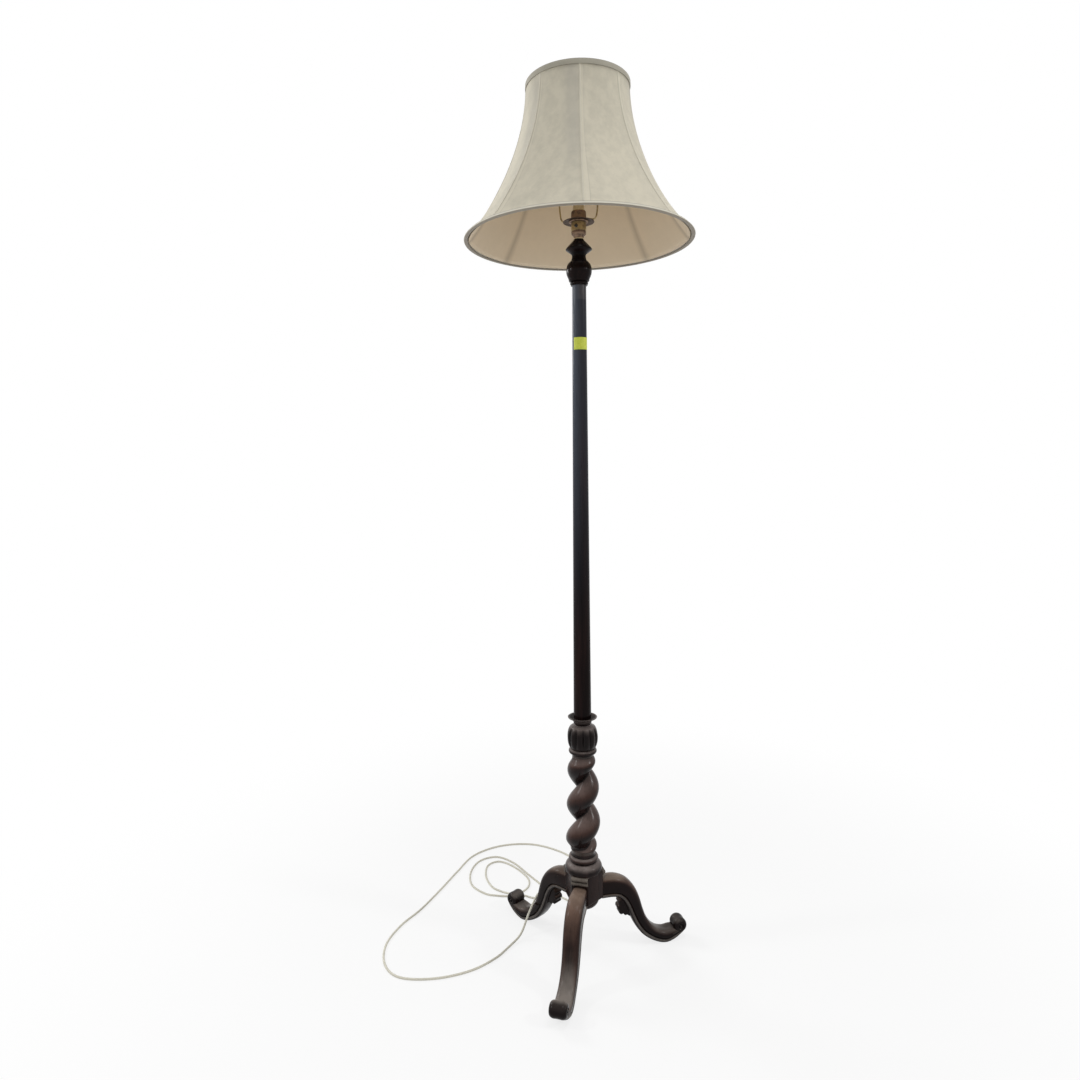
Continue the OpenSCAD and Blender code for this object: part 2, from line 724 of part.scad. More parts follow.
module flex() {
    // Rings spread evenly over the route's points; the flex never dips into the floor.
    path = [for (k = [0 : flex_rings - 1])
        let (p = smooth_at(flex_route, k * (len(flex_route) - 1) / (flex_rings - 1)))
        [p[0], p[1], max(p[2], flex_r + 0.4)]];
    color(flex_white) tube(path, flex_r, 8);
}

// ---- plug: lies on its back, pins up, the flex enters at local X = 0
plug_at = [-72, 316, 0];
plug_turn = -52;
plug_split = 12;
plug_h = 21;
module plug_place() {
    translate(plug_at) rotate([0, 0, plug_turn]) children();
}
module plug_outline(low, high) {
    translate([0, 0, low]) linear_extrude(high - low) polygon([
        [0, -11], [12, -plug_w / 2], [plug_w - 8, -plug_w / 2], [plug_w, -plug_w / 2 + 9],
        [plug_w, plug_w / 2 - 9], [plug_w - 8, plug_w / 2], [12, plug_w / 2], [0, 11]]);
}
module plug_screw_holes(r) {
    for (y = [-1, 1]) translate([30, y * 18, 0])
        cylinder(r = r, h = plug_h + 5, $fn = 24);
}
module plug_cover() {
    color("white") plug_place() difference() {
        plug_outline(0, plug_split);
        translate([14, -15, 2]) cube([31, 30, 20]);
        translate([-5, 0, 11]) rotate([0, 90, 0]) cylinder(r = flex_r + 0.4, h = 25, $fn = 24);
        plug_screw_holes(1.8);
    }
}
module plug_base() {
    color("white") plug_place() difference() {
        plug_outline(plug_split, plug_h);
        translate([14, -15, plug_split - 1]) cube([31, 30, 5]);
        translate([-5, 0, 11]) rotate([0, 90, 0]) cylinder(r = flex_r + 0.4, h = 25, $fn = 24);
        plug_screw_holes(1.8);
        plug_pin_bars(0.1);
    }
}
module plug_pin_bars(grow) {
    translate([38.2 - 2 - grow, -4 - grow, 15]) cube([4 + 2 * grow, 8 + 2 * grow, 28.7]);
    for (y = [-1, 1])
        translate([16 - 2 - grow, y * 11.1 - 3.2 - grow, 15])
            cube([4 + 2 * grow, 6.4 + 2 * grow, 23.7]);
}
module plug_pins() {
    color(brass) plug_place() plug_pin_bars(0);
}
module plug_fuse() {
    color("silver") plug_place() translate([16, 10.4, 6.5]) rotate([0, 90, 0])
        cylinder(r = 3.2, h = 25.4, $fn = 24);
}
module plug_cord_grip() {
    color(brass) plug_place() translate([20.4, -9, 5]) cube([5, 15, 3]);
}
module plug_screws() {
    color("silver") plug_place() for (y = [-1, 1]) translate([30, y * 18, 0.5])
        cylinder(r = 1.6, h = plug_h - 1, $fn = 24);
}

hub();
leg_front();
leg_right();
leg_left();
leg_dowels();
base_collar();
twist_section();
lotus_section();
shaft();
top_turning();
blank_label();
threaded_nipple();
seating_washer();
lampholder_cap();
lampholder_body();
insulator();
terminal_screws();
plunger_springs();
contact_plungers();
switch_bar();
lower_shade_ring();
upper_shade_ring();
carrier_plate();
carrier_arms();
carrier_ring();
bulb_cap();
bulb_contacts();
bulb_glass();
fitter_ring();
pivot_pins();
gimbal_struts();
shade_top_ring();
shade_bottom_ring();
shade_ribs();
shade_cover();
shade_lining();
seam_tapes();
top_trim();
bottom_trim();
inner_flex();
cord_grommet();
flex();
plug_cover();
plug_base();
plug_pins();
plug_fuse();
plug_cord_grip();
plug_screws();
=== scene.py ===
# %% [markdown]
# # A carved standard lamp with a bell shade
# The lamp stands about 1.8 m high: three scroll legs, a barley-twist stem, a long plain
# shaft, a brass bayonet lampholder and a fabric shade on a wire carrier. The measured
# model comes first as a fixed frame, and every piece below is dressed onto it in metres.

# %% Load the frame
import json
import math

import bmesh
import bpy
from mathutils import Matrix, Vector

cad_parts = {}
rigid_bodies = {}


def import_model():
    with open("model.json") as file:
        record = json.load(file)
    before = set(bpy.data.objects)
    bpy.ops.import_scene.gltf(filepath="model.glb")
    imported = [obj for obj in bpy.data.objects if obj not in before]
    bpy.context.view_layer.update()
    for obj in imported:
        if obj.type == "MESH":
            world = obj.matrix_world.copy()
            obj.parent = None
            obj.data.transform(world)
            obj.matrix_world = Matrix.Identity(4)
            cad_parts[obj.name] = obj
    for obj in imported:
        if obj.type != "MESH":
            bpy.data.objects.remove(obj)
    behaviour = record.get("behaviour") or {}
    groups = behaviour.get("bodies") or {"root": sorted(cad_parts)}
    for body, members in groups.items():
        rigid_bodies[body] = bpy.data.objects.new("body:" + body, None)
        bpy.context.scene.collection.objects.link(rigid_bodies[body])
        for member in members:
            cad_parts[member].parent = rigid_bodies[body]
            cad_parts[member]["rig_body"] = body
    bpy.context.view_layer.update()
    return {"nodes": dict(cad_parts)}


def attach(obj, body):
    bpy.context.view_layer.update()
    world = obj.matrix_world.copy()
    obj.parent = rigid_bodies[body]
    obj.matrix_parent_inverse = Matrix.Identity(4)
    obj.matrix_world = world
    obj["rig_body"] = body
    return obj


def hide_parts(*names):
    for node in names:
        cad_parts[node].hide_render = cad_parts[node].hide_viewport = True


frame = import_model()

MM = 0.001
TURN = 2 * math.pi
print("nodes in the frame:", len(frame["nodes"]))

# %% [markdown]
# ## The camera
# The picture was taken at chest height, 1.6 m from the stem, a little to the right of the
# front leg and looking slightly down. Three directions fix the camera: where it looks,
# what is to its right, and what is above. The small lean of the picture is a turn of the
# last two about the first.

# %% Place the camera
heading, dip, lean = math.radians(106.0), math.radians(6.13), -0.0136
ahead = Vector((math.cos(heading) * math.cos(dip), math.sin(heading) * math.cos(dip),
                -math.sin(dip)))
level = Vector((math.sin(heading), -math.cos(heading), 0))
right = level * math.cos(lean) + level.cross(ahead) * math.sin(lean)
above = right.cross(ahead)
lens = bpy.data.cameras.new("camera")
lens.sensor_fit, lens.sensor_width, lens.lens = "HORIZONTAL", 36, 25.03
camera = bpy.data.objects.new("camera", lens)
bpy.context.scene.collection.objects.link(camera)
stand = Matrix((right, above, -ahead)).transposed().to_4x4()
stand.translation = (0.3466, -1.5194, 1.0861)
camera.matrix_world = stand
bpy.context.scene.camera = camera
print("camera at", [round(v, 3) for v in stand.translation])

# %% [markdown]
# ## The free flex
# A flex is one curve with a round section. It leaves the back of the hub, drops to the
# floor, lies in a loose double loop, climbs over the left foot, runs round in one wide
# loop and ends in its plug behind the hub. A few points carry a smooth curve through
# them, and the curve is kept just above the floor.

# %% Route of the flex, millimetres
route = [
    (0, 38.2, 150), (0, 54, 149), (-2, 76, 139), (-10, 98, 112), (-22, 120, 72),
    (-40, 142, 34), (-66, 164, 9), (-100, 186, 3), (-137, 206, 3), (-204, 259, 3),
    (-263, 307, 3), (-317, 325, 3), (-355, 294, 3), (-359, 236, 3), (-335, 180, 3),
    (-289, 152, 3), (-257, 151, 3), (-227, 157, 3), (-204, 176, 3), (-192, 212, 3),
    (-209, 251, 3), (-260, 291, 3), (-304, 304, 3), (-326, 276, 3), (-313, 226, 3),
    (-283, 186, 3), (-256, 171, 4), (-228, 160, 8), (-207, 160, 8.5), (-187, 165, 5),
    (-165, 158, 7), (-147, 139, 24), (-136, 108, 52), (-132, 70, 64.5), (-139, 36, 45),
    (-150, 10, 11), (-165, -28, 3), (-182, -74, 3), (-221, -127, 3), (-286, -169, 3),
    (-359, -184, 3), (-408, -154, 3), (-436, -93, 3), (-435, -21, 3), (-417, 49, 3),
    (-404, 141, 3), (-395, 227, 3), (-381, 317, 3), (-326, 384, 3), (-243, 414, 3),
    (-157, 396, 3), (-100, 354, 6), (-84.3, 331.8, 10), (-72, 316, 11), (-58.5, 298.7, 11)
]
flex_radius = 2.5


def smooth_line(points, steps):
    """Points on a smooth curve through the given points."""
    line, last = [], len(points) - 1
    for i in range(last):
        a, b, c, d = (Vector(points[min(max(i + k, 0), last)]) for k in (-1, 0, 1, 2))
        for k in range(steps):
            t = k / steps
            line.append(0.5 * (2 * b + (c - a) * t + (2 * a - 5 * b + 4 * c - d) * t * t
                               + (3 * b - a - 3 * c + d) * t ** 3))
    return line + [Vector(points[-1])]


flex_line = smooth_line(route, 8)
for point in flex_line:
    point.z = max(point.z, flex_radius + 0.4)
flex_line = [point * MM for point in flex_line]
flex_length = sum((b - a).length for a, b in zip(flex_line, flex_line[1:]))
print("flex length:", round(flex_length, 3), "m")

# %% Draw the flex
flex_curve = bpy.data.curves.new("flex_run", "CURVE")
flex_curve.dimensions = "3D"
# Each point holds the real radius, so that the curve's own box has the real size.
flex_curve.bevel_depth, flex_curve.bevel_resolution = 1.0, 3
flex_curve.use_fill_caps = True
spline = flex_curve.splines.new("POLY")
spline.points.add(len(flex_line) - 1)
for knot, point in zip(spline.points, flex_line):
    knot.co, knot.radius = (*point, 1), flex_radius * MM
spline.use_smooth = True
flex_run = bpy.data.objects.new("flex_run", flex_curve)
bpy.context.scene.collection.objects.link(flex_run)
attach(flex_run, "stand")
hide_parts("flex")
print("flex curve:", len(flex_line), "points")

# %% [markdown]
# ## Shader maths
# A material is easier to read as sums than as boxes and wires. The small class below
# holds one output socket. Adding or multiplying it makes a Math node, and everything else
# comes from one method of the material that takes a node's type, its settings and its
# inputs.

# %% A socket that can be added and multiplied
class Link:
    def __init__(self, tree, socket):
        self.tree, self.socket = tree, socket

    def math(self, operation, *values, clamp=False):
        made = self.tree.nodes.new("ShaderNodeMath")
        made.operation, made.use_clamp = operation, clamp
        for place, value in enumerate(values):
            feed(self.tree, made.inputs[place], value)
        return Link(self.tree, made.outputs[0])

    def __add__(self, other):
        return self.math("ADD", self, other)

    def __sub__(self, other):
        return self.math("SUBTRACT", self, other)

    def __rsub__(self, other):
        return self.math("SUBTRACT", other, self)

    def __mul__(self, other):
        return self.math("MULTIPLY", self, other)

    def size(self):
        return self.math("ABSOLUTE", self)

    def clamped(self):
        return self.math("ADD", self, 0.0, clamp=True)

    __radd__, __rmul__ = __add__, __mul__


def feed(tree, socket, value):
    """Links a Link to a socket, or sets the socket to a plain value."""
    if isinstance(value, Link):
        tree.links.new(value.socket, socket)
    elif hasattr(value, "__len__") and socket.type == "RGBA":
        socket.default_value = (*value, 1)[:4]
    else:
        socket.default_value = value


# %% A material that is built by name
class Finish:
    """One material: a Principled surface, and a method that adds any other node."""

    def __init__(self, name):
        self.material = bpy.data.materials.new(name)
        self.material.use_nodes = True
        self.tree = self.material.node_tree
        self.surface = self.tree.nodes["Principled BSDF"]
        self.end = self.tree.nodes["Material Output"]
        print("finish:", name)

    def node(self, kind, settings=None, inputs=None, out=0):
        made = self.tree.nodes.new("ShaderNode" + kind)
        for key, value in (settings or {}).items():
            if key == "stops":
                ramp = made.color_ramp.elements
                while len(ramp) < len(value):
                    ramp.new(0.5)
                for stop, (place, colour) in zip(ramp, value):
                    stop.position, stop.color = place, (*colour, 1)
            else:
                setattr(made, key, value)
        for key, value in (inputs or {}).items():
            feed(self.tree, made.inputs[key], value)
        return Link(self.tree, made.outputs[out])

    def place(self, scale, source="Object"):
        """Object coordinates, or the piece's own UV map, stretched by scale."""
        base = self.node("TexCoord", out=source)
        return self.node("Mapping", inputs={"Vector": base, "Scale": scale})

    def part(self, axis, source="Object"):
        """One of the three numbers of a place."""
        return self.node("SeparateXYZ", inputs={0: self.place((1, 1, 1), source)},
                         out=axis)

    def reach(self):
        """Distance from the stem's axis."""
        return self.node("VectorMath", {"operation": "LENGTH"}, {
            0: self.place((1, 1, 0))}, "Value")

    def noise(self, where, scale, detail=3, rough=0.55):
        return self.node("TexNoise", inputs={
            "Vector": where, "Scale": scale, "Detail": detail, "Roughness": rough})

    def step(self, value, low, high):
        """0 below low, 1 above high and smooth between."""
        return self.node("MapRange", {"interpolation_type": "SMOOTHSTEP"}, {
            "Value": value, "From Min": low, "From Max": high})

    def ramp(self, value, stops):
        return self.node("ValToRGB", {"stops": stops}, {"Fac": value})

    def mix(self, share, first, second):
        return self.node("Mix", {"data_type": "RGBA"}, {0: share, 6: first, 7: second}, 2)

    def mark(self, name):
        """A number that was stored on the mesh."""
        return self.node("Attribute", {"attribute_name": name}, out="Fac")

    def bump(self, height, depth, strength=1.0):
        return self.node("Bump", inputs={
            "Height": height, "Distance": depth, "Strength": strength}, out="Normal")

    def set(self, **values):
        for key, value in values.items():
            name = key.replace("_", " ").title().replace("Ior", "IOR")
            feed(self.tree, self.surface.inputs[name], value)
        return self


# %% [markdown]
# ## Stage: floor, sky and lamps
# The picture's background is plain white. The floor is a pale disc that turns into pure
# white with distance, so no horizon shows, and it keeps the soft shadow near the lamp.
# The sky is white to the camera, to mirrors and to glass, and a softer level lights the
# object.

# %% Sky
def looking(tree):
    """1 for what the camera sees, straight or in a mirror or through glass."""
    path = tree.nodes.new("ShaderNodeLightPath")
    rays = [Link(tree, path.outputs[kind])
            for kind in ("Is Camera Ray", "Is Glossy Ray", "Is Transmission Ray")]
    either = rays[0].math("MAXIMUM", rays[0], rays[1])
    return either.math("MAXIMUM", either, rays[2])


sky = bpy.data.worlds.new("sky")
bpy.context.scene.world = sky
sky.use_nodes = True
sky_light = sky.node_tree.nodes["Background"]
sky_light.inputs["Color"].default_value = (1, 1, 1, 1)
soft_level = 0.42
feed(sky.node_tree, sky_light.inputs["Strength"],
     looking(sky.node_tree) * (1 - soft_level) + soft_level)
bpy.context.scene.view_settings.view_transform = "Standard"
print("the sky lights the lamp at", soft_level)

# %% Floor
floor_mesh = bmesh.new()
bmesh.ops.create_circle(floor_mesh, cap_ends=True, radius=9, segments=96)
floor_data = bpy.data.meshes.new("floor")
floor_mesh.to_mesh(floor_data)
floor = bpy.data.objects.new("floor", floor_data)
bpy.context.scene.collection.objects.link(floor)
floor_look = Finish("pale_floor")
floor_look.set(base_color=(0.92, 0.92, 0.92), roughness=1.0, specular_ior_level=0.0)
glow = floor_look.node("Emission", inputs={"Color": (1, 1, 1), "Strength": 1.0})
near_share, near_end, far_start = 0.78, 0.5, 1.6
share = ((floor_look.step(floor_look.reach(), near_end, far_start) * (1 - near_share)
          + near_share) * looking(floor_look.tree))
lit = Link(floor_look.tree, floor_look.surface.outputs[0])
blend = floor_look.node("MixShader", inputs={0: share, 1: lit, 2: glow})
floor_look.tree.links.new(blend.socket, floor_look.end.inputs["Surface"])
floor_data.materials.append(floor_look.material)
print("floor turns white from", near_end, "to", far_start, "m out")

# %% Lamps
def soft_lamp(name, place, size, power, aim=(0, 0, 0.9)):
    light = bpy.data.lights.new(name, "AREA")
    light.shape, light.size, light.energy = "DISK", size, power
    lamp = bpy.data.objects.new(name, light)
    lamp.location = place
    towards = Vector(aim) - Vector(place)
    lamp.rotation_euler = towards.to_track_quat("-Z", "Y").to_euler()
    lamp.visible_camera = False
    bpy.context.scene.collection.objects.link(lamp)
    print(f"{name}: {power} W")


soft_lamp("window_left", (-2.5, -1.2, 2.1), 0.36, 20, (0, 0, 1.1))
soft_lamp("window_right", (2.6, -0.3, 2.2), 0.4, 20, (0, 0, 1.0))
soft_lamp("side_left", (-2.4, 0.9, 2.0), 1.0, 24, (0, 0, 1.4))
soft_lamp("ceiling", (0.5, -0.5, 3.6), 1.0, 20)

# %% [markdown]
# ## Making and keeping a piece
# Three ways of making cover nearly the whole lamp. A turned piece is an outline spun
# about the stem. A carved or bent piece is a ring of points that is extruded from place
# to place. A small fitting that the frame already holds is copied, its doubles merged and
# its edges rounded. Wood also stores two numbers at each point: how proud the place
# stands, for wear, painted edge highlights and painted shade in the hollows, and how far
# it faces up, for dust and painted light from above. The first comes from a smoothed copy
# of the mesh: a crest sinks when it is smoothed and a hollow fills, so the gap between
# the two tells them apart.

# %% Store numbers on a mesh, and join two meshes
def store(mesh, label, numbers):
    """Stores one number at each point, which a material reads by its label."""
    mesh.attributes.new(label, "FLOAT", "POINT").data.foreach_set("value", numbers)


def add_mesh(bm, other):
    """Adds another bmesh and frees it."""
    carrier = bpy.data.meshes.new("carrier")
    other.to_mesh(carrier)
    other.free()
    bm.from_mesh(carrier)
    bpy.data.meshes.remove(carrier)


# %% Pull a flat face out into a block
def block(outline, along):
    """One face, extruded along a vector. Both are in metres."""
    bm = bmesh.new()
    face = bm.faces.new([bm.verts.new(p) for p in outline])
    grown = bmesh.ops.extrude_face_region(bm, geom=[face])["geom"]
    bmesh.ops.translate(bm, vec=along,
                        verts=[g for g in grown if isinstance(g, bmesh.types.BMVert)])
    return bm


# %% Keep a finished mesh as a piece
def keep(bm, name, finish, body, stands_for=(), crease=35, wood=0):
    """Makes the piece and says what it rides on. wood: how often the copy is smoothed."""
    mesh = bpy.data.meshes.new(name)
    bm.normal_update()
    if wood:
        soft = bm.copy()
        for _ in range(wood):
            bmesh.ops.smooth_vert(soft, verts=soft.verts, factor=0.5, use_axis_x=True,
                                  use_axis_y=True, use_axis_z=True)
        proud = [(vert.co - other.co).dot(vert.normal) / MM
                 for vert, other in zip(bm.verts, soft.verts)]
        upward = [vert.normal.z for vert in bm.verts]
        soft.free()
        print(f"{name}: proud from {min(proud):.2f} to {max(proud):.2f} mm")
    bm.to_mesh(mesh)
    bm.free()
    if wood:
        store(mesh, "proud", proud)
        store(mesh, "upward", upward)
    mesh.shade_smooth()
    mesh.set_sharp_from_angle(angle=math.radians(crease))
    mesh.materials.append(finish.material)
    piece = bpy.data.objects.new(name, mesh)
    bpy.context.scene.collection.objects.link(piece)
    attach(piece, body)
    if stands_for:
        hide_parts(*stands_for)
    print(f"{name}: {len(mesh.polygons)} faces")
    return piece


# %% Outlines for turning, in millimetres
def arc(across, height, wide, tall, first, last, count=9):
    """Points on part of an ellipse, as (radius, height)."""
    return [(across + wide * math.cos(math.radians(first + (last - first) * k / count)),
             height + tall * math.sin(math.radians(first + (last - first) * k / count)))
            for k in range(count + 1)]


def bead(radius, low, high):
    half = (high - low) / 2
    return arc(radius - half, low + half, half, half, -90, 90, 10)


def eased(outline, cut=0.5):
    """The same outline with every sharp corner cut, so that it catches the light."""
    made, room, sharp = [outline[0]], 2.2 * cut, 0.45   # millimetres and radians
    for before, here, after in zip(outline, outline[1:], outline[2:]):
        a, b, c = Vector(before), Vector(here), Vector(after)
        into, away = b - a, c - b
        if min(into.length, away.length) > room and into.angle(away) > sharp:
            made += [tuple(b - into.normalized() * cut),
                     tuple(b + away.normalized() * cut)]
        else:
            made.append(here)
    return made + [outline[-1]]


# %% Turn an outline about the stem
def turned(outline, steps=96):
    bm = bmesh.new()
    verts = [bm.verts.new((r * MM, 0, z * MM)) for r, z in outline]
    edges = [bm.edges.new(pair) for pair in zip(verts, verts[1:])]
    bmesh.ops.spin(bm, geom=verts + edges, cent=(0, 0, 0), axis=(0, 0, 1), angle=TURN,
                   steps=steps, use_merge=True)
    bmesh.ops.remove_doubles(bm, verts=bm.verts, dist=1e-6)
    bmesh.ops.recalc_face_normals(bm, faces=bm.faces)
    return bm


# %% Loft a row of rings
def loft(rings, capped=True, closed=True):
    """One extrusion from each ring to the next. The UV map runs once round the section,
    and along the loft in metres."""
    bm = bmesh.new()
    order, row = bm.verts.layers.int.new("order"), bm.verts.layers.int.new("row")
    verts = [bm.verts.new(p) for p in rings[0]]
    for k, vert in enumerate(verts):
        vert[order] = k
    pairs = zip(verts, verts[1:] + verts[:1]) if closed else zip(verts, verts[1:])
    edges = [bm.edges.new(pair) for pair in pairs]
    first, count, along = edges, len(verts), [0.0]
    for n, ring in enumerate(rings[1:], 1):
        grown = bmesh.ops.extrude_edge_only(bm, edges=edges)["geom"]
        for vert in (g for g in grown if isinstance(g, bmesh.types.BMVert)):
            vert.co, vert[row] = ring[vert[order]], n
        edges = [g for g in grown if isinstance(g, bmesh.types.BMEdge)
                 and all(v[row] == n for v in g.verts)]
        along.append(along[-1] + (Vector(ring[0]) - Vector(rings[n - 1][0])).length)
    uv = bm.loops.layers.uv.new("UVMap")
    for face in bm.faces:
        wraps = {loop.vert[order] for loop in face.loops} >= {0, count - 1}
        for loop in face.loops:
            k = loop.vert[order]
            loop[uv].uv = ((count if wraps and k == 0 else k) / count,
                           along[loop.vert[row]])
    if capped:
        bmesh.ops.edgeloop_fill(bm, edges=first)
        bmesh.ops.edgeloop_fill(bm, edges=edges)
    bmesh.ops.recalc_face_normals(bm, faces=bm.faces)
    return bm


# %% Sweep a round wire along a line
def wire(points, radius, sides=12):
    """Points in metres. Each ring is square to the line and turns as little as it can."""
    rings, side = [], None
    for i, here in enumerate(points):
        run = (points[min(i + 1, len(points) - 1)] - points[max(i - 1, 0)]).normalized()
        side = run.orthogonal() if side is None else side - run * side.dot(run)
        side.normalize()
        other = run.cross(side)
        rings.append([here + radius * (side * math.cos(TURN * k / sides)
                                       + other * math.sin(TURN * k / sides))
                      for k in range(sides)])
    return loft(rings)


# %% Dress a fitting from the frame
def dress(node, finish, edge=0.25, crease=30):
    """Makes a copy of a frame node, with its doubles merged and its edges rounded, that
    stands for it."""
    bm = bmesh.new()
    bm.from_mesh(frame["nodes"][node].data)
    bmesh.ops.remove_doubles(bm, verts=bm.verts, dist=1e-6)
    bmesh.ops.dissolve_limit(bm, angle_limit=math.radians(0.5), verts=bm.verts,
                             edges=bm.edges)
    body = frame["nodes"][node]["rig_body"]
    piece = keep(bm, node + "_dressed", finish, body, [node], crease)
    if edge:
        rounding = piece.modifiers.new("rounded edges", "BEVEL")
        rounding.width, rounding.segments = edge * MM, 2
        rounding.limit_method, rounding.angle_limit = "ANGLE", math.radians(40)
        rounding.harden_normals = True
    return piece


# %% [markdown]
# ## Old stained wood
# The wood is dark mahogany: close to black in the hollows, which is painted shade,
# red-brown where it was rubbed, and greyer on faces that look up, from dust and painted
# light from above. Fine streaks follow the grain: up the stem on turned pieces, and along
# the leg on carved ones. So they read the object's own coordinates on the turned pieces
# and the loft's UV map on the legs. Pores are short dark strokes with a bump. Proud edges
# are worn paler and carry a painted highlight. The legs are dustier low down and at the
# knee, with painted highlights on the bead and on top of the knee. They are darker at the
# toes, and the two legs behind are darker with painted shade. The shaft has a grey bloom
# towards its top, mixed with a painted reflection of the window, stronger on the side
# that faced it.

# %% Colours of wear, dust and painted light, and where they lie
SHADE_AND_PORE_BLACK = (0.0025, 0.0018, 0.0018)
RUBBED, WORN_EDGE_AND_HIGHLIGHT = (0.070, 0.034, 0.026), (0.115, 0.096, 0.084)
LOW_DUST_AND_LIGHT, KNEE_DUST_AND_LIGHT = (0.225, 0.196, 0.174), (0.235, 0.150, 0.112)
KNEE_HIGHLIGHT, BEAD_HIGHLIGHT = (0.27, 0.225, 0.180), (0.135, 0.120, 0.108)
BLOOM_AND_REFLECTION = (0.085, 0.098, 0.125)


def leg_wear_and_shade(wood):
    """1 on the front leg, less at the toes, and less on the two legs behind, which
    darkens them as painted shade.
    """
    toe = wood.step(wood.reach(), 0.214, 0.232)
    behind = wood.step(wood.part("Y"), -0.05, 0.0)
    return (1 - toe * 0.92) * (1 - behind * 0.45)


def leg_bead(wood):
    """1 on the raised bead of a leg, by the share of the way round its section."""
    round_it = wood.part("X", "UV")
    off = (round_it - 0.5).size()
    return wood.step(off, 0.118, 0.145) * (1 - wood.step(off, 0.205, 0.232))


def shaft_bloom_and_reflection(wood, figure):
    """A grey polish haze with a painted reflection of the window: it grows up the shaft,
    and across it towards the window.
    """
    across = wood.step(wood.part("X"), -0.010, 0.011)
    return wood.step(wood.part("Z") + figure * 0.12, 0.72, 1.46) * (1.3 - across * 0.85)


# %% One recipe for all the dark wood
def dark_wood(name, source="Object", grain=(55, 55, 4), crest=(0.1, 0.6), red=0.6,
              dust_and_light_share=0.6, dust_and_light=(0.150, 0.124, 0.110), faces_up=(0.25, 1.1), gloss=0.11,
              gate=(-0.4, 0.45), bloom_and_reflection=0.0, deep=(-0.9, -0.05)):
    """crest and deep: how proud a rubbed place is, and a hollow one that takes painted
    shade, in millimetres. gate and faces_up: how far a face looks up to be rubbed, and to
    be dusted and lit by painted light from above. red, and the strengths of dusting and
    haze: how strongly rubbing, dusting with painted top light, and a grey polish haze
    with a painted window reflection show."""
    wood = Finish(name)
    figure = wood.noise(wood.place(grain, source), 1.0, 5, 0.6)
    patches = wood.step(wood.noise(wood.place((1, 1, 1)), 16.0, 3), 0.36, 0.62)
    fine_grain = tuple(9 * g for g in grain)
    pits = wood.step(wood.noise(wood.place(fine_grain, source), 1.0, 2, 0.5), 0.60, 0.72)
    proud, upward = wood.mark("proud"), wood.mark("upward")
    on_leg = source == "UV"
    # Less wear, dust and light at the toes, and painted shade on the two legs behind.
    wear_and_light_share = leg_wear_and_shade(wood) if on_leg else 1.0
    colour = wood.ramp(figure, [(0.30, (0.0035, 0.0020, 0.0020)),
                                (0.52, (0.0085, 0.0046, 0.0044)),
                                (0.74, (0.0230, 0.0105, 0.0095))])
    rubbed = wood.step(proud, *crest) * wood.step(upward, *gate) * wear_and_light_share
    colour = wood.mix(rubbed * (patches * 0.5 + 0.5) * red, colour, RUBBED)
    if on_leg:
        height = wood.part("Z")
        dust_and_light = wood.mix(wood.step(height, 0.05, 0.13), LOW_DUST_AND_LIGHT, KNEE_DUST_AND_LIGHT)
    # Dust and painted top light: faces that look up turn paler.
    dust_and_top_light = (wood.step(upward + figure * 0.3, *faces_up)
               * (patches * 0.45 + 0.55) * dust_and_light_share * wear_and_light_share)
    colour = wood.mix(dust_and_top_light, colour, dust_and_light)
    # Worn edges, paler, with a painted highlight on them.
    edges = (wood.step(proud, crest[1] * 1.3, crest[1] * 2.2)
             * wood.step(upward, -0.95, 0.0) * 0.4 * wear_and_light_share)
    colour = wood.mix(edges, colour, WORN_EDGE_AND_HIGHLIGHT)
    if on_leg:
        # A painted highlight along the bead.
        colour = wood.mix(leg_bead(wood) * (patches * 0.3 + 0.5), colour, BEAD_HIGHLIGHT)
        # A painted highlight on top of the knee.
        knee = wood.step(height, 0.152, 0.171) * wood.step(upward, 0.45, 0.95)
        colour = wood.mix(knee * (patches * 0.3 + 0.2), colour, KNEE_HIGHLIGHT)
    # Grey polish bloom with a painted reflection of the window.
    if bloom_and_reflection:
        colour = wood.mix(shaft_bloom_and_reflection(wood, figure) * bloom_and_reflection, colour, BLOOM_AND_REFLECTION)
    # Painted shade blackens the hollows, and the pores are dark too.
    hollow = 1 - wood.step(proud, *deep)
    colour = wood.mix((hollow * 0.85 + pits * 0.4).clamped(), colour, SHADE_AND_PORE_BLACK)
    rough = (figure * 0.08 + 0.13 + dust_and_top_light * 0.12 + hollow * 0.3 + pits * 0.1).clamped()
    wood.set(base_color=colour, roughness=rough, specular_ior_level=gloss,
             normal=wood.bump(figure * 0.5 - pits, 0.0004, 0.4))
    return wood


# %% The wood of each part
stem_wood = dark_wood("stem_wood", crest=(0.5, 1.4), dust_and_light_share=1.0,
                      dust_and_light=(0.188, 0.155, 0.143), faces_up=(0.28, 1.0),
                      deep=(-0.6, 0.05))
twist_wood = dark_wood("twist_wood", crest=(0.0, 0.45), red=0.9, dust_and_light_share=1.0,
                       dust_and_light=(0.185, 0.135, 0.120), faces_up=(0.30, 1.05),
                       gate=(-0.30, 0.45), gloss=0.13)
shaft_wood = dark_wood("shaft_wood", grain=(70, 70, 3), red=0, dust_and_light_share=0.2, gloss=0.05,
                       bloom_and_reflection=0.72)
# Its faces that look up take a bluish painted sheen.
top_wood = dark_wood("top_wood", grain=(70, 70, 6), crest=(0.5, 1.6), red=0, dust_and_light_share=0.15,
                     dust_and_light=(0.075, 0.080, 0.095), gloss=0.065)
leg_wood = dark_wood("leg_wood", "UV", (9, 5, 1), crest=(0.4, 1.9), red=0.8, dust_and_light_share=1.0,
                     faces_up=(0.34, 1.05), gate=(-0.12, 0.60), gloss=0.085)
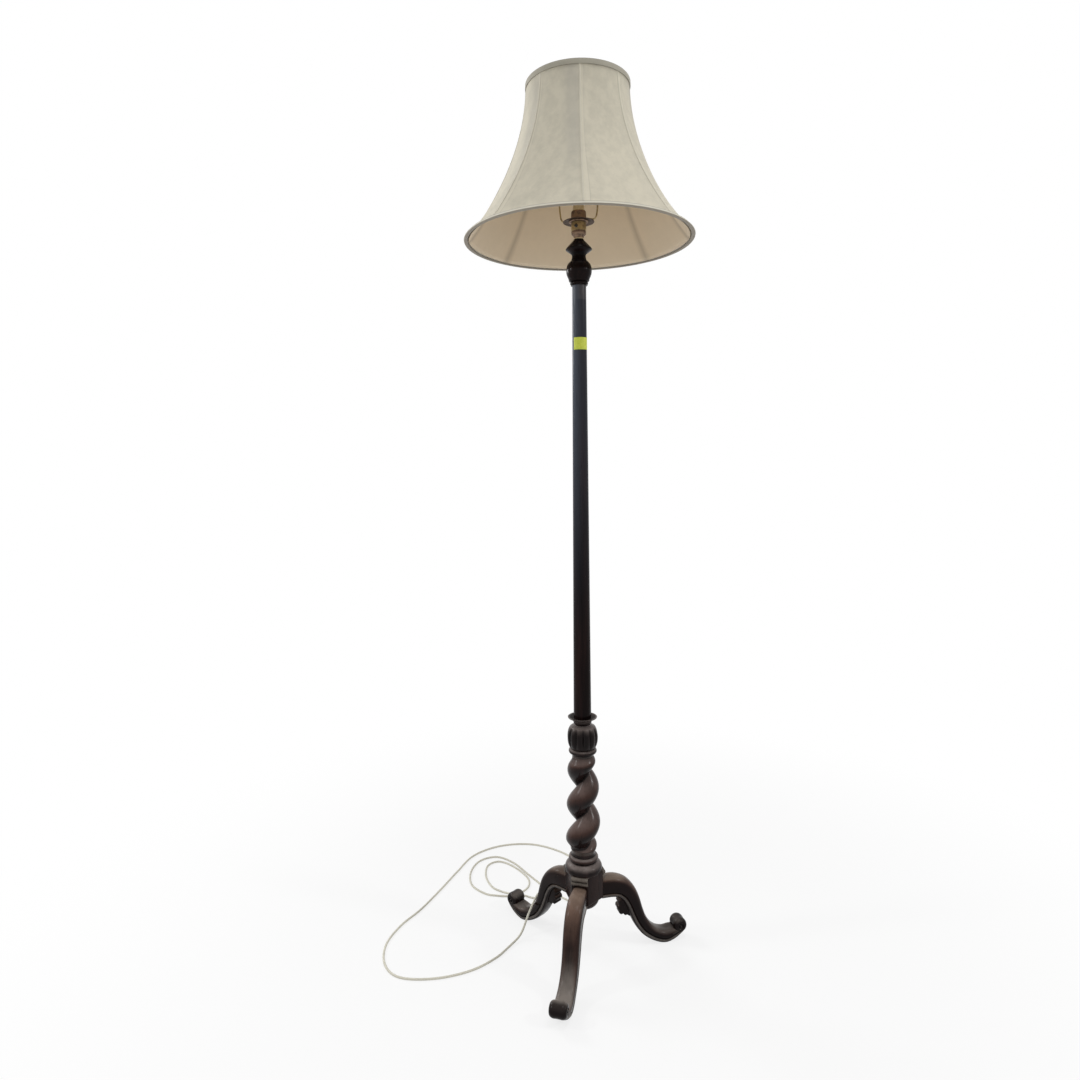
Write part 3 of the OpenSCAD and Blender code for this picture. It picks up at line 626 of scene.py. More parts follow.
# A crest that starts far below zero rubs every face alike.
everywhere = (-9, -8)
hub_wood = dark_wood("hub_wood", crest=everywhere, red=0.14, dust_and_light_share=1.0, gate=(-2, -1),
                     gloss=0.07)
ridge_wood = dark_wood("ridge_wood", crest=everywhere, red=0.3, dust_and_light_share=1.0,
                       dust_and_light=(0.200, 0.175, 0.148), faces_up=(-1.0, 0.8), gate=(-1, 0))

# %% Plain inner wood
dowel_wood = Finish("dowel_wood")
beech = dowel_wood.noise(dowel_wood.place((60, 300, 300)), 1.0, 4)
dowel_wood.set(base_color=dowel_wood.ramp(beech, [(0.3, (0.38, 0.25, 0.14)),
                                                  (0.7, (0.56, 0.41, 0.26))]),
               roughness=beech * 0.2 + 0.5)

# %% [markdown]
# ## The hub
# Legs and stem meet in a block with six sides, three that carry legs and three plain. Its
# plan comes from where neighbouring sides cross. The block is one extrusion with all its
# edges bevelled, and the rounded boss below is turned. Over each leg a pair of ridges
# lies on the block: round rods, sunk into it by about a third of their thickness.

# %% Hub block and boss
leg_side, plain_side, hub_low, hub_top = 38.5, 35.0, 132, 196


def crossing(a, da, b, db):
    """Where two sides meet, each given by the direction and distance of its face."""
    a, b = math.radians(a), math.radians(b)
    return ((da * math.sin(b) - db * math.sin(a)) / math.sin(b - a),
            (db * math.cos(a) - da * math.cos(b)) / math.sin(b - a))


plan = [crossing(-90 + 60 * k, (leg_side, plain_side)[k % 2],
                 -30 + 60 * k, (plain_side, leg_side)[k % 2]) for k in range(6)]
hub = block([(x * MM, y * MM, hub_low * MM) for x, y in plan],
            (0, 0, (hub_top - hub_low) * MM))
bmesh.ops.bevel(hub, geom=hub.edges[:], offset=1.6 * MM, segments=3, profile=0.5,
                affect="EDGES", material=-1)
# The stored numbers are read between points, so the tall sides need points on the way.
upright = [e for e in hub.edges if abs(e.verts[0].co.z - e.verts[1].co.z) > 40 * MM]
bmesh.ops.subdivide_edges(hub, edges=upright, cuts=12, use_grid_fill=True)
bmesh.ops.recalc_face_normals(hub, faces=hub.faces)
keep(hub, "hub_block", hub_wood, "stand", ["hub"], wood=1)
boss = turned([(0, 112)] + arc(14, 132, 20, 20, -90, 0, 10) + [(33, 134), (0, 134)])
keep(boss, "hub_boss", hub_wood, "stand", wood=1)

# %% Ridges over the legs
ridges, ridge_len, stands_off = bmesh.new(), 36, 1.4
for turn in (-90, 30, 150):
    for height, size in ((191.0, 4.7), (181.6, 4.3)):
        spot = (Matrix.Rotation(math.radians(turn), 4, "Z")
                @ Matrix.Translation(((leg_side + stands_off) * MM, 0, height * MM))
                @ Matrix.Rotation(math.pi / 2, 4, "X"))
        rod = bmesh.ops.create_cone(ridges, cap_ends=True, segments=24, radius1=size * MM,
                                    radius2=size * MM, depth=ridge_len * MM, matrix=spot)
        rims = {e for v in rod["verts"] for e in v.link_edges
                if any(len(f.verts) > 4 for f in e.link_faces)}
        bmesh.ops.bevel(ridges, geom=list(rims), offset=1.0 * MM, segments=2, profile=0.5,
                        affect="EDGES", material=-1)
keep(ridges, "hub_ridges", ridge_wood, "stand", wood=1)

# %% [markdown]
# ## The legs
# Each leg is a cabriole: it leaves the hub level, turns down at the knee, runs out along
# the floor and curls up into a scroll. It is a loft of sections along that line. The
# section is a rounded back on top and, near the underside, a groove and a raised bead.
# Both keep their size along the leg, so the back is measured down from the top edge, and
# groove and bead up from the lower one. The scroll is turned about a line across the leg.
# A lobed leaf hangs behind the knee.

# %% Section and line of a leg
# Distance from the stem, height, half depth and half width, in millimetres
leg_stations = [
    (38.5, 149.5, 24, 16), (50, 149.5, 23.5, 17), (68, 148.5, 23, 18),
    (86, 141.5, 21.5, 18), (101, 126, 19.5, 18), (111, 106, 18, 18),
    (119, 83, 16.8, 17.8), (129, 59, 15.8, 17.7), (144, 37, 15, 17.7),
    (164, 21, 14.2, 18.2), (186, 13, 14.6, 19), (204, 15.5, 13.4, 19.2),
    (219, 20.5, 9.8, 18.2), (230.5, 27.5, 7.4, 16.5), (235.6, 36, 3.6, 14)]
# Share of the half width, and millimetres down from the top or up from the underside
back = [(0, 0), (0.26, 0.2), (0.50, 0.9), (0.72, 2.4), (0.88, 4.9), (0.97, 8.0),
        (1.0, 11.5)]
moulding = [(1.0, 15.0), (0.985, 12.6), (0.86, 11.4), (0.84, 10.4), (0.93, 9.3),
            (1.0, 8.0), (1.02, 6.6), (0.99, 5.2), (0.90, 4.1), (0.84, 3.2), (0.85, 2.1),
            (0.74, 0.8), (0.45, 0.1), (0, 0)]


def leg_section(depth, width, dish):
    """The leg's section. Its back is dished towards the toe, between two soft ridges."""
    full_depth = 13
    squeeze = min(1, depth / full_depth)
    upper = [(x * width, depth - drop * squeeze - dish * max(0, 1 - (x / 0.6) ** 2))
             for x, drop in back]
    lower = [(x * width, -depth + y * squeeze) for x, y in moulding]
    half = upper + lower
    return half + [(-x, y) for x, y in reversed(half[1:-1])]


leg_path = smooth_line([(s, z, 0) for s, z, _, _ in leg_stations], 5)
leg_sizes = smooth_line([(d, w, 0) for _, _, d, w in leg_stations], 5)
leg_run = sum((b - a).length for a, b in zip(leg_path, leg_path[1:]))
print("a leg runs", round(leg_run), "mm from the hub to the toe")


def leg_rings():
    rings = []
    for i, (spot, size) in enumerate(zip(leg_path, leg_sizes)):
        after = leg_path[min(i + 1, len(leg_path) - 1)]
        run = (after - leg_path[max(i - 1, 0)]).normalized() if i else Vector((1, 0, 0))
        dish = 2.6 * max(0, 1 - abs(spot.x - 200) / 40)
        rings.append([Vector((spot.x - run.y * y, x, max(spot.y + run.x * y, 0))) * MM
                      for x, y in leg_section(size.x, size.y, dish)])
    return rings


# %% Scroll at the toe and carved leaf behind the knee
def add_scroll(bm):
    """The curl of the toe, round at both ends, with a ring and an eye sunk in each."""
    half = (arc(0, 16.8, 3.4, 2.6, 90, 0, 5) + [(4.2, 16.2), (5.6, 16.2)]
            + arc(8.2, 16.4, 2.2, 2.0, 180, 70, 5)[1:]
            + arc(8.6, 8.0, 7.4, 10.2, 84, 0, 10) + [(15.8, 5), (15.5, 0.5)])
    outline = half + [(r, -z) for r, z in reversed(half[:-1])]
    spun = turned(outline, 48)
    toe = Matrix.Translation((224 * MM, 0, 32 * MM))
    bmesh.ops.transform(spun, verts=spun.verts,
                        matrix=toe @ Matrix.Rotation(math.pi / 2, 4, "X"))
    add_mesh(bm, spun)


def add_leaf(bm):
    """A leaf that hangs behind the knee: a plate with a lobed edge, rounded all round."""
    outline = [(103, 128), (94, 122), (86, 118.5), (79.5, 113), (77, 107.5),
               (80.5, 102.5), (76, 99), (75.4, 93), (80, 89.5), (78.5, 84), (83, 79.5),
               (89, 81), (92, 76), (98, 77), (104, 72), (112, 78), (110, 100)]
    leaf_w = 21
    leaf = block([(s * MM, -leaf_w / 2 * MM, z * MM) for s, z in outline],
                 (0, leaf_w * MM, 0))
    bmesh.ops.bevel(leaf, geom=[e for e in leaf.edges if len(e.link_faces) == 2],
                    offset=2.6 * MM, segments=3, profile=0.6, affect="EDGES", material=-1)
    bmesh.ops.recalc_face_normals(leaf, faces=leaf.faces)
    add_mesh(bm, leaf)


# %% Three legs
for name, turn in (("leg_front", -90), ("leg_right", 30), ("leg_left", 150)):
    leg = loft(leg_rings())
    add_scroll(leg)
    add_leaf(leg)
    bmesh.ops.transform(leg, matrix=Matrix.Rotation(math.radians(turn), 4, "Z"),
                        verts=leg.verts)
    keep(leg, name + "_carved", leg_wood, "stand", [name], 50, wood=14)

# %% [markdown]
# ## Turned stem below the shaft
# The collar is two rounded rings, one on the other. Above it stands the twist: at each
# height the section swings from a deep groove to a full round crest, and the crest goes
# round once in 77 mm, right-handed. Both fade into a plain neck at the ends. A loft of
# many sections gives that directly, where a spin could only give a plain column.

# %% Collar
collar = turned(eased([(0, 195), (38, 195.2)]
                      + arc(32, 200, 8.5, 13.5, -20, 75, 14) + [(31, 216)]
                      + bead(32.2, 217, 230) + [(26.5, 231.5), (25.4, 234), (25.4, 237),
                                                (28, 245), (0, 245)]))
keep(collar, "collar_turned", stem_wood, "stand", ["base_collar"], wood=14)

# %% Barley twist
twist_low, twist_high, pitch = 245, 452, 77


def twist_radius(share, angle):
    """share: how far up the twist. angle: how far round from the crest."""
    fade = 0.09
    ease = math.sin(math.pi / 2 * min(1, share / fade, (1 - share) / fade))
    crest, groove = 38.5 - 6 * share, 15 - 3 * share
    full = groove + (crest - groove) * abs(math.cos(angle / 2)) ** 0.92
    neck = 28 - 5 * share
    return neck + (full - neck) * ease


# In the picture a crest faces the camera 383 mm up.
facing, facing_z = math.radians(12.85), 383
twist_rings, tall, sides = [], 150, 96
for i in range(tall + 1):
    share = i / tall
    z = twist_low + (twist_high - twist_low) * share
    crest_at = facing + TURN * (z - facing_z) / pitch
    twist_rings.append([Vector((math.cos(a), math.sin(a), 0))
                        * twist_radius(share, a - crest_at) * MM + Vector((0, 0, z * MM))
                        for a in (TURN * k / sides for k in range(sides))])
twist = loft(twist_rings)
keep(twist, "twist_carved", twist_wood, "stand", ["twist_section"], 60,
     wood=14)

# %% [markdown]
# ## The lotus
# A bulb of twelve upright lobes sits between a round disc below and a thin dished lip
# above, in which the shaft stands. The outline is spun first, and the lobes are then cut
# by pulling the points between them towards the stem.

# %% Lotus bulb and lip
lip = [(18.9, 534), (22, 534.8), (26.5, 535.7), (30.6, 536.9), (31.3, 538.2), (31, 539),
       (29.5, 538.6), (24, 537), (20.5, 536.4), (18.6, 536.2), (0, 536)]
lotus = turned(eased([(0, 452), (23, 452), (22.2, 457)] + bead(30.2, 458.5, 469.5)
                     + [(24, 471)] + arc(20, 494, 13.1, 27, -60, 60, 26)
                     + [(24.5, 518.6), (18.5, 520.5), (17.5, 521.5)]
                     + bead(19.7, 522.5, 533) + lip, 0.35), 192)
lobes, bulb_low, bulb_high, cut_share = 12, 471, 520, 0.115
for vert in lotus.verts:
    height = vert.co.z / MM
    if bulb_low < height < bulb_high:
        swell = math.sin(math.pi * (height - bulb_low) / (bulb_high - bulb_low)) ** 0.7
        lobe = abs(math.cos(lobes / 2 * math.atan2(vert.co.y, vert.co.x)))
        left = 1 - cut_share * swell * (1 - lobe) ** 1.4
        vert.co.x, vert.co.y = vert.co.x * left, vert.co.y * left
keep(lotus, "lotus_carved", stem_wood, "stand", ["lotus_section"], 60,
     wood=14)

# %% [markdown]
# ## Shaft and top turning
# The shaft is a plain round taper, 0.9 m long. The top turning under the lampholder has a
# ring, a vase and a sharp double cone.

# %% Shaft
# The stored numbers need points on the way here too.
foot_r, narrowing, shaft_low, shaft_high, cuts = 18.8, 4.6, 536, 1432, 24
shaft = turned([(0, shaft_low - 1), (foot_r, shaft_low - 1)]
               + [(foot_r - narrowing * k / cuts,
                   shaft_low + (shaft_high - shaft_low) * k / cuts)
                  for k in range(cuts + 1)] + [(0, shaft_high + 1)])
keep(shaft, "shaft_turned", shaft_wood, "stand", ["shaft"], wood=1)

# %% Top turning
top = turned(eased([(0, 1432), (17.4, 1432)] + bead(18.3, 1433.4, 1438.6)
                   + [(19.2, 1439.6), (20.6, 1441), (20.9, 1444)]
                   + arc(16.2, 1461, 9.6, 17, -40, 62, 14)
                   + [(15.6, 1481), (14.1, 1485.5), (13.7, 1489), (14, 1492),
                      (16.6, 1494.6), (21, 1497.6), (26.3, 1501.2), (26.5, 1502.8),
                      (22, 1508), (16, 1514.4), (11.4, 1519), (10.1, 1521.6),
                      (0, 1521.6)], 0.4))
keep(top, "top_turned", top_wood, "stand", ["top_turning"], 50, wood=14)

# %% [markdown]
# ## Paper label
# A small blank paper label is wrapped round the shaft under the shade. It is part of a
# ring with soft waves, so that its edges lift a little.

# %% Paper
paper = Finish("label_paper")
fibre = paper.noise(paper.place((1, 1, 1)), 260, 3)
paper.set(base_color=paper.ramp(fibre, [(0.25, (0.52, 0.60, 0.05)),
                                        (0.75, (0.70, 0.76, 0.10))]),
          roughness=0.6, normal=paper.bump(fibre, 0.0002, 0.4))

# %% Label
glued_r, label_low, label_high, label_turn = 15.1, 1305, 1329, 125
label_rings, cuts = [], 32
for k in range(cuts + 1):
    a = math.radians(-label_turn + label_turn * k / cuts)
    face_r = glued_r + 0.3 + 0.1 * math.sin(k * 0.9)
    label_rings.append([Vector((r * math.cos(a), r * math.sin(a), z)) * MM
                        for r, z in ((glued_r, label_low), (face_r, label_low),
                                     (face_r, label_low + 8), (face_r, label_high - 8),
                                     (face_r, label_high), (glued_r, label_high))])
keep(loft(label_rings), "label_wrap", paper, "stand", ["blank_label"])

# %% [markdown]
# ## Brass and small fittings
# The lampholder, its rings and the wire carrier are old brass that nobody polishes. One
# recipe gives all of them: a base metal, brown tarnish in patches, and roughness that
# grows with the tarnish. Only the two colours and the share of tarnish differ from part
# to part. Plastics and rubber are plainer: one colour with a little mottling and a fine
# grain.

# %% Metals
def old_metal(name, bright, dull, tarnish, rough=0.34):
    metal = Finish(name)
    patches = metal.noise(metal.place((1, 1, 1)), 120, 5, 0.65)
    fine = metal.noise(metal.place((1, 1, 1)), 900, 2)
    stained = metal.step(patches, 0.62 - 0.35 * tarnish, 0.78 - 0.35 * tarnish)
    metal.set(base_color=metal.mix(stained, bright, dull), metallic=1.0 - stained * 0.25,
              roughness=(fine * 0.12 + rough + stained * 0.2).clamped(),
              normal=metal.bump(fine, 0.00005, 0.4))
    return metal


brass = old_metal("dull_brass", (0.44, 0.345, 0.19), (0.27, 0.20, 0.11), 0.4)
brown_brass = old_metal("brown_brass", (0.24, 0.165, 0.115), (0.13, 0.085, 0.06),
                        0.5, 0.42)
pale_brass = old_metal("pale_brass", (0.60, 0.53, 0.38), (0.36, 0.29, 0.18), 0.2)
# The carrier plate's brass is darker, as painted shade for its underside seen from below.
shaded_plate_brass = old_metal("shaded_plate_brass", (0.085, 0.056, 0.040), (0.045, 0.030, 0.022),
                       0.4, 0.5)
steel = old_metal("plated_steel", (0.60, 0.60, 0.60), (0.38, 0.36, 0.34), 0.1)

# %% Moulded black, rubber, wire coat and white plastic
def moulded(name, colour, rough, grain=0.02):
    plastic = Finish(name)
    speck = plastic.noise(plastic.place((1, 1, 1)), 400, 3)
    shade_by = plastic.noise(plastic.place((1, 1, 1)), 30, 2)
    darker = tuple(c * 0.82 for c in colour)
    plastic.set(base_color=plastic.mix(shade_by, darker, colour),
                roughness=(speck * 0.1 + rough).clamped(),
                normal=plastic.bump(speck, grain * MM, 0.5))
    return plastic


phenolic = moulded("black_phenolic", (0.018, 0.015, 0.013), 0.22)
rubber = moulded("black_rubber", (0.025, 0.025, 0.025), 0.6)
wire_coat = moulded("wire_coat", (0.78, 0.75, 0.67), 0.38)
white_plastic = moulded("white_plastic", (0.80, 0.79, 0.76), 0.28)
sheath = moulded("flex_sheath", (0.76, 0.73, 0.62), 0.42)
flex_curve.materials.append(sheath.material)

# %% Lampholder: washer, cap and body
keep(turned(eased([(6.5, 1521.6), (9.8, 1521.6), (9.8, 1524), (6.5, 1524)], 0.3)),
     "washer_turned", pale_brass, "stand", ["seating_washer"])
cap = [(6.5, 1524), (9.6, 1524), (10.2, 1527), (11.6, 1528.6), (13.4, 1530),
       (14.4, 1531.6), (14.7, 1533), (14.2, 1533.4), (14.2, 1534.2), (14.7, 1534.6),
       (14.7, 1536.8), (13.4, 1536.9), (13.4, 1533), (9, 1529), (6.5, 1529)]
keep(turned(cap + cap[:1]), "cap_turned", brown_brass, "stand", ["lampholder_cap"])
dress("lampholder_body", brass, 0.2)

# %% Push bar of the switch
def push_part(outline):
    """Turned, then laid along +Y at the height of the switch."""
    bm = turned(outline, 32)
    lay = Matrix.Translation((0, 0, 1542.5 * MM)) @ Matrix.Rotation(-math.pi / 2, 4, "X")
    bmesh.ops.transform(bm, verts=bm.verts, matrix=lay)
    return bm


push, knob_r = bmesh.new(), 3.5
for low, high in ((-25, -21), (16, 19)):
    add_mesh(push, push_part(eased([
        (0, low), (knob_r - 0.9, low), (knob_r, low + 0.9), (knob_r, high - 0.5),
        (knob_r - 0.5, high), (0, high)], 0.2)))
keep(push, "push_knobs", phenolic, "switch")
keep(push_part([(0, -21), (2.2, -21), (2.2, 16), (0, 16)]), "push_rod", brass, "switch",
     ["switch_bar"])

# %% Shade rings and carrier plate
lower = [(13.5, 1554), (18.6, 1554), (19.5, 1554.9), (19.5, 1556.4), (18.6, 1557.3),
         (13.5, 1557.3)]
keep(turned(eased(lower + lower[:1], 0.3)), "lower_ring_turned", brown_brass, "stand",
     ["lower_shade_ring"])
upper = ([(13.5, 1559.1), (18.6, 1559.1), (19, 1559.5), (19, 1560.4), (15.6, 1561.4),
          (15, 1562.2)] + arc(13.7, 1571, 1.3, 4, 0, 90, 7) + [(13.5, 1575)])
keep(turned(upper + upper[:1]), "upper_ring_turned", brown_brass, "stand",
     ["upper_shade_ring"])
brim = [(13.7, 1557.4), (20, 1557.4), (30.4, 1554.4), (31.2, 1554.7), (31.3, 1555.3),
        (30.7, 1555.7), (20, 1559.1), (13.7, 1559.0)]
keep(turned(eased(brim + brim[:1], 0.25)), "carrier_plate_spun", shaded_plate_brass, "stand",
     ["carrier_plate"])

# %% Arms and ring of the carrier
arm_line = [(24, 0, 1559.8), (28.5, 0, 1558.35), (33.6, 0, 1559.8), (36.8, 0, 1567.4),
            (38.8, 0, 1585.4), (41, 0, 1617.4), (45, 0, 1677.4), (49, 0, 1743.4),
            (50, 0, 1755.4)]
arms = bmesh.new()
for turn in (0, math.pi):
    line = [Matrix.Rotation(turn, 3, "Z") @ (p * MM) for p in smooth_line(arm_line, 6)]
    add_mesh(arms, wire(line, 1.6 * MM, 14))
keep(arms, "carrier_arms_bent", brass, "stand", ["carrier_arms"], 60)
keep(turned(arc(50, 1757.4, 1.8, 1.8, 0, 360, 16), 128), "carrier_ring_bent", brass,
     "stand", ["carrier_ring"], 60)

# %% [markdown]
# ## Bulb
# The picture shows only the pale neck of a bulb above the lampholder. It is taken as an
# ordinary pearl bulb with a bayonet cap. Pearl glass scatters light, so it is a rough
# glass with a milky colour and a little of the light passed through.

# %% Bulb
pearl = Finish("pearl_glass")
cloud = pearl.noise(pearl.place((1, 1, 1)), 25, 2)
pearl.set(base_color=pearl.mix(cloud, (0.86, 0.85, 0.80), (0.94, 0.93, 0.89)),
          roughness=cloud * 0.06 + 0.36, transmission_weight=0.35, ior=1.45)
dress("bulb_glass", pearl, 0, 60)
dress("bulb_cap", pale_brass, 0.15)

# %% [markdown]
# ## The shade
# The shade is eight shaped panels sewn together and stretched over eight ribs between a
# small ring and a large one. Its outline is a bell, so it is spun from that outline.
# Cloth pulled tight between two ribs goes almost straight across, so each point between
# two seams is drawn a little towards the stem, most of all a third of the way up. A bias
# strip binds each rim, and a tan lining hangs inside the ribs.

# %% Outline of the bell and the pull of the cloth
shade_low, shade_high, panels, first_seam = 1516, 1813, 8, -75
top_r, spread, flare = 101.4, 127.2, 1.9
panel_turn = 360 / panels
METRES_ROUND = 0.16     # metres of the cloth's UV map to one radian round the stem
print(panels, "panels, from", shade_low, "to", shade_high, "mm above the floor")


def bell(z):
    """Radius of the bell at a height."""
    return top_r + spread * ((shade_high - z) / (shade_high - shade_low)) ** flare


def seam_share(angle):
    """0 on a seam, 0.5 half way between two."""
    share = ((math.degrees(angle) - first_seam) / panel_turn) % 1
    return min(share, 1 - share)


def pull(angle, z):
    """What is left of the bell's radius where the tight cloth is drawn in."""
    tightness = 0.6
    t = min(1, max(0, (z - shade_low) / (shade_high - shade_low)))
    across = panel_turn / 2 - panel_turn * seam_share(angle)
    chord = math.cos(math.radians(panel_turn / 2)) / math.cos(math.radians(across))
    return 1 + tightness * math.sin(math.pi * t ** 0.6) ** 0.7 * (chord - 1)


def bell_cloth(inset, low, high, ridge=0.0):
    """An open bell of cloth, with UV in metres round and along it. ridge: how far it is
    pushed in along a rib, in millimetres."""
    rows, ridge_share = 44, 0.045
    heights = [low + (high - low) * k / rows for k in range(rows + 1)]
    outline = [(bell(z) - inset, z) for z in heights]
    bm = turned(outline, 24 * panels)
    if sum(f.normal.dot(Vector((*f.calc_center_median().xy, 0))) for f in bm.faces) < 0:
        bmesh.ops.reverse_faces(bm, faces=bm.faces)
    uv = bm.loops.layers.uv.new("UVMap")
    for face in bm.faces:
        corners = [loop.vert.co for loop in face.loops]
        angles = [math.atan2(corner.y, corner.x) % TURN for corner in corners]
        for loop, angle in zip(face.loops, angles):
            over = TURN if max(angles) - angle > math.pi else 0
            loop[uv].uv = ((angle + over) * METRES_ROUND, loop.vert.co.z)
    for vert in bm.verts:
        angle, z = math.atan2(vert.co.y, vert.co.x), vert.co.z / MM
        near = max(0, 1 - seam_share(angle) / ridge_share)
        factor = pull(angle, z) - ridge * near / (vert.co.xy.length / MM)
        vert.co.x, vert.co.y = vert.co.x * factor, vert.co.y * factor
    return bm


# %% Flat size of the cloth
slices = 200
levels = [shade_low + 1 + (shade_high - shade_low - 2) * k / slices
          for k in range(slices + 1)]
lengths = [math.hypot(b - a, bell(b) - bell(a)) for a, b in zip(levels, levels[1:])]
flat_area = MM * MM * sum(math.pi * (bell(a) + bell(b)) * length
                          for a, b, length in zip(levels, levels[1:], lengths))

# %% [markdown]
# ## Cloth finishes
# The cover is a cream satin weave with a faint clouded figure, tide lines, and greyer
# patches beside the seams. Threads are drawn from the UV map, which is close to metres,
# so their pitch is close to a real size. Beside each seam the turned-in edge of the next
# panel shows as a paler strip between two dark lines. The UV map gives the angle round
# the stem and the stored reach gives the radius, and together they give the distance from
# the nearest seam. The lining is a plainer tan weave with a painted shadow along each
# rib.

# %% A weave and its clouds
def woven(name, light, dark, pitch, figure=0.5, rough=0.66):
    """A woven finish, the tone between its two colours and the relief of its threads.
    pitch: metres from thread to thread. figure: the strength of the clouds."""
    cloth = Finish(name)
    flat = cloth.place((1, 1, 1), "UV")
    waves_at_scale_1 = 3.2      # waves to a metre of the texture at scale 1
    threads = [cloth.node("TexWave", {"wave_type": "BANDS", "bands_direction": way},
                          {"Vector": flat, "Scale": 1 / pitch / waves_at_scale_1,
                           "Distortion": 0.6}, "Fac") for way in "XY"]
    clouds = cloth.noise(cloth.place((1, 1, 0.8)), 55, 4, 0.65)
    tides = cloth.noise(cloth.place((1.2, 1.2, 0.6)), 13, 2, 0.5)
    slubs = cloth.noise(cloth.place((30, 700, 1), "UV"), 1.0, 3)
    stains = cloth.noise(cloth.place((1, 1, 0.6)), 6, 2)
    tone = (cloth.step(clouds, 0.30, 0.70) * 0.45 + cloth.step(tides, 0.55, 0.61) * 0.16
            + cloth.step(stains, 0.36, 0.64) * 0.4 - 0.35) * figure
    tone = (tone + slubs * 0.2 + threads[0] * 0.06 + 0.4).clamped()
    relief = threads[0] * 0.5 + threads[1] * 0.5 + slubs
    cloth.set(base_color=cloth.mix(tone, dark, light),
              roughness=(slubs * 0.12 + rough).clamped(), sheen_weight=0.12,
              sheen_roughness=0.4, normal=cloth.bump(relief, 0.00012, 0.5))
    return cloth, tone, relief


# %% Cover cloth with its seams
def sewn_cover(name, light, dark):
    """All widths are metres from the nearest seam; high is 1 at the narrow end."""
    cloth, tone, relief = woven(name, light, dark, 0.0005, 1.1)
    round_it = cloth.part("X", "UV") - math.radians(first_seam) * METRES_ROUND
    half_panel = math.radians(panel_turn) * METRES_ROUND / 2
    reach = cloth.mark("reach")
    wrapped = round_it.math("WRAP", round_it, half_panel, -half_panel)
    off = wrapped * (1 / METRES_ROUND) * reach
    high = 1 - cloth.step(reach, 0.115, 0.21)
    width = 0.0125 - high * 0.0065
    strip = cloth.step(off, 0.0004, 0.0014) * (
        1 - cloth.step(off - width, -0.0008, 0.0004))
    line = 1 - cloth.step(off.size(), 0.0005, 0.0017)
    far_line = (1 - cloth.step((off - width).size(), 0.0003, 0.0013)) * (1 - high * 0.7)
    patchy = cloth.noise(cloth.place((1, 1, 0.5)), 8, 2)
    grey = 1 - cloth.step((off + 0.013).size(), 0.004, 0.026)
    grey = grey * cloth.step(patchy, 0.35, 0.62) * (high * 0.6 + 0.2)
    colour = cloth.mix(tone, dark, light)
    colour = cloth.mix(grey * 0.55, colour, (0.36, 0.34, 0.295))
    pale, dim = tuple(1.12 * c for c in light), tuple(0.42 * c for c in dark)
    colour = cloth.mix(strip * 0.45, colour, pale)
    colour = cloth.mix(line * 0.5 + far_line * 0.22, colour, dim)
    cloth.set(base_color=colour, normal=cloth.bump(relief + strip * 2.0, 0.00012, 0.5))
    return cloth


# %% Lining and trims, darkened by grime and painted shade
def grimy_and_shaded(name, mark, light, dark, grime_and_shade_colour, pitch, amount=0.8, figure=0.5):
    """Woven cloth that takes on a darker colour where the mark is stored: grime on the
    rims, and painted shade inside the low rim and along the lining's ribs.
    """
    cloth, tone, relief = woven(name, light, dark, pitch, figure)
    cloth.set(base_color=cloth.mix(cloth.mark(mark) * amount,
                                   cloth.mix(tone, dark, light), grime_and_shade_colour))
    return cloth


cover_cloth = sewn_cover("cream_cloth", (0.600, 0.555, 0.440), (0.450, 0.420, 0.335))
seam_cloth = woven("cream_seam", (0.60, 0.56, 0.45), (0.46, 0.43, 0.35), 0.0007, 0.5)[0]
low_cloth = grimy_and_shaded("low_trim_cloth", "soil", (0.68, 0.65, 0.54), (0.55, 0.52, 0.43),
                   (0.20, 0.165, 0.13), 0.0007)
# The top trim is darker than the cover: its own colour, and painted shade of its fold.
top_cloth = grimy_and_shaded("top_trim_cloth", "soil", (0.40, 0.375, 0.30), (0.31, 0.29, 0.235),
                   (0.17, 0.155, 0.13), 0.0007)
# The lining's tan is raised as painted light, standing in for light that comes through
# the cover, and its rib marks are painted shadows.
lining_cloth = grimy_and_shaded("tan_lining", "seam", (0.75, 0.61, 0.43), (0.64, 0.52, 0.365),
                      (0.33, 0.26, 0.18), 0.0006, 0.55, 0.4)

# %% Cover and lining
def thicken(piece, thickness):
    wall = piece.modifiers.new("cloth thickness", "SOLIDIFY")
    wall.thickness, wall.offset = thickness * MM, -1


cover = keep(bell_cloth(0, shade_low + 1, shade_high - 1), "shade_cover_sewn",
             cover_cloth, "shade", ["shade_cover"], 180)
store(cover.data, "reach", [v.co.xy.length for v in cover.data.vertices])
thicken(cover, 0.8)
lining = keep(bell_cloth(5.4, shade_low + 3, shade_high - 5, ridge=0.8),
              "shade_lining_sewn", lining_cloth, "shade", ["shade_lining"],
              180)
# Painted shadows of the ribs along the lining.
seam_shadow = 0.085
store(lining.data, "seam",
      [max(0, 1 - seam_share(math.atan2(v.co.y, v.co.x)) / seam_shadow) ** 1.2
       for v in lining.data.vertices])
thicken(lining, 0.6)

# %% Seam strips
strips, strip_low, strip_high, cuts = bmesh.new(), shade_low + 8, shade_high - 9, 30
for k in range(panels):
    angle = math.radians(first_seam + panel_turn * k)
    out = Vector((math.cos(angle), math.sin(angle), 0))
    side = Vector((-math.sin(angle), math.cos(angle), 0))
    rings = []
    for n in range(cuts + 1):
        z = strip_low + (strip_high - strip_low) * n / cuts
        rings.append([(out * (bell(z) + h) + side * s + Vector((0, 0, z))) * MM
                      for s, h in ((-1.8, -0.2), (-1.6, 0.35), (-0.7, 0.7), (0.7, 0.7),
                                   (1.7, 0.4), (2.0, -0.2))])
    add_mesh(strips, loft(rings))
strips = keep(strips, "seam_strips", seam_cloth, "shade", ["seam_tapes"],
              60)

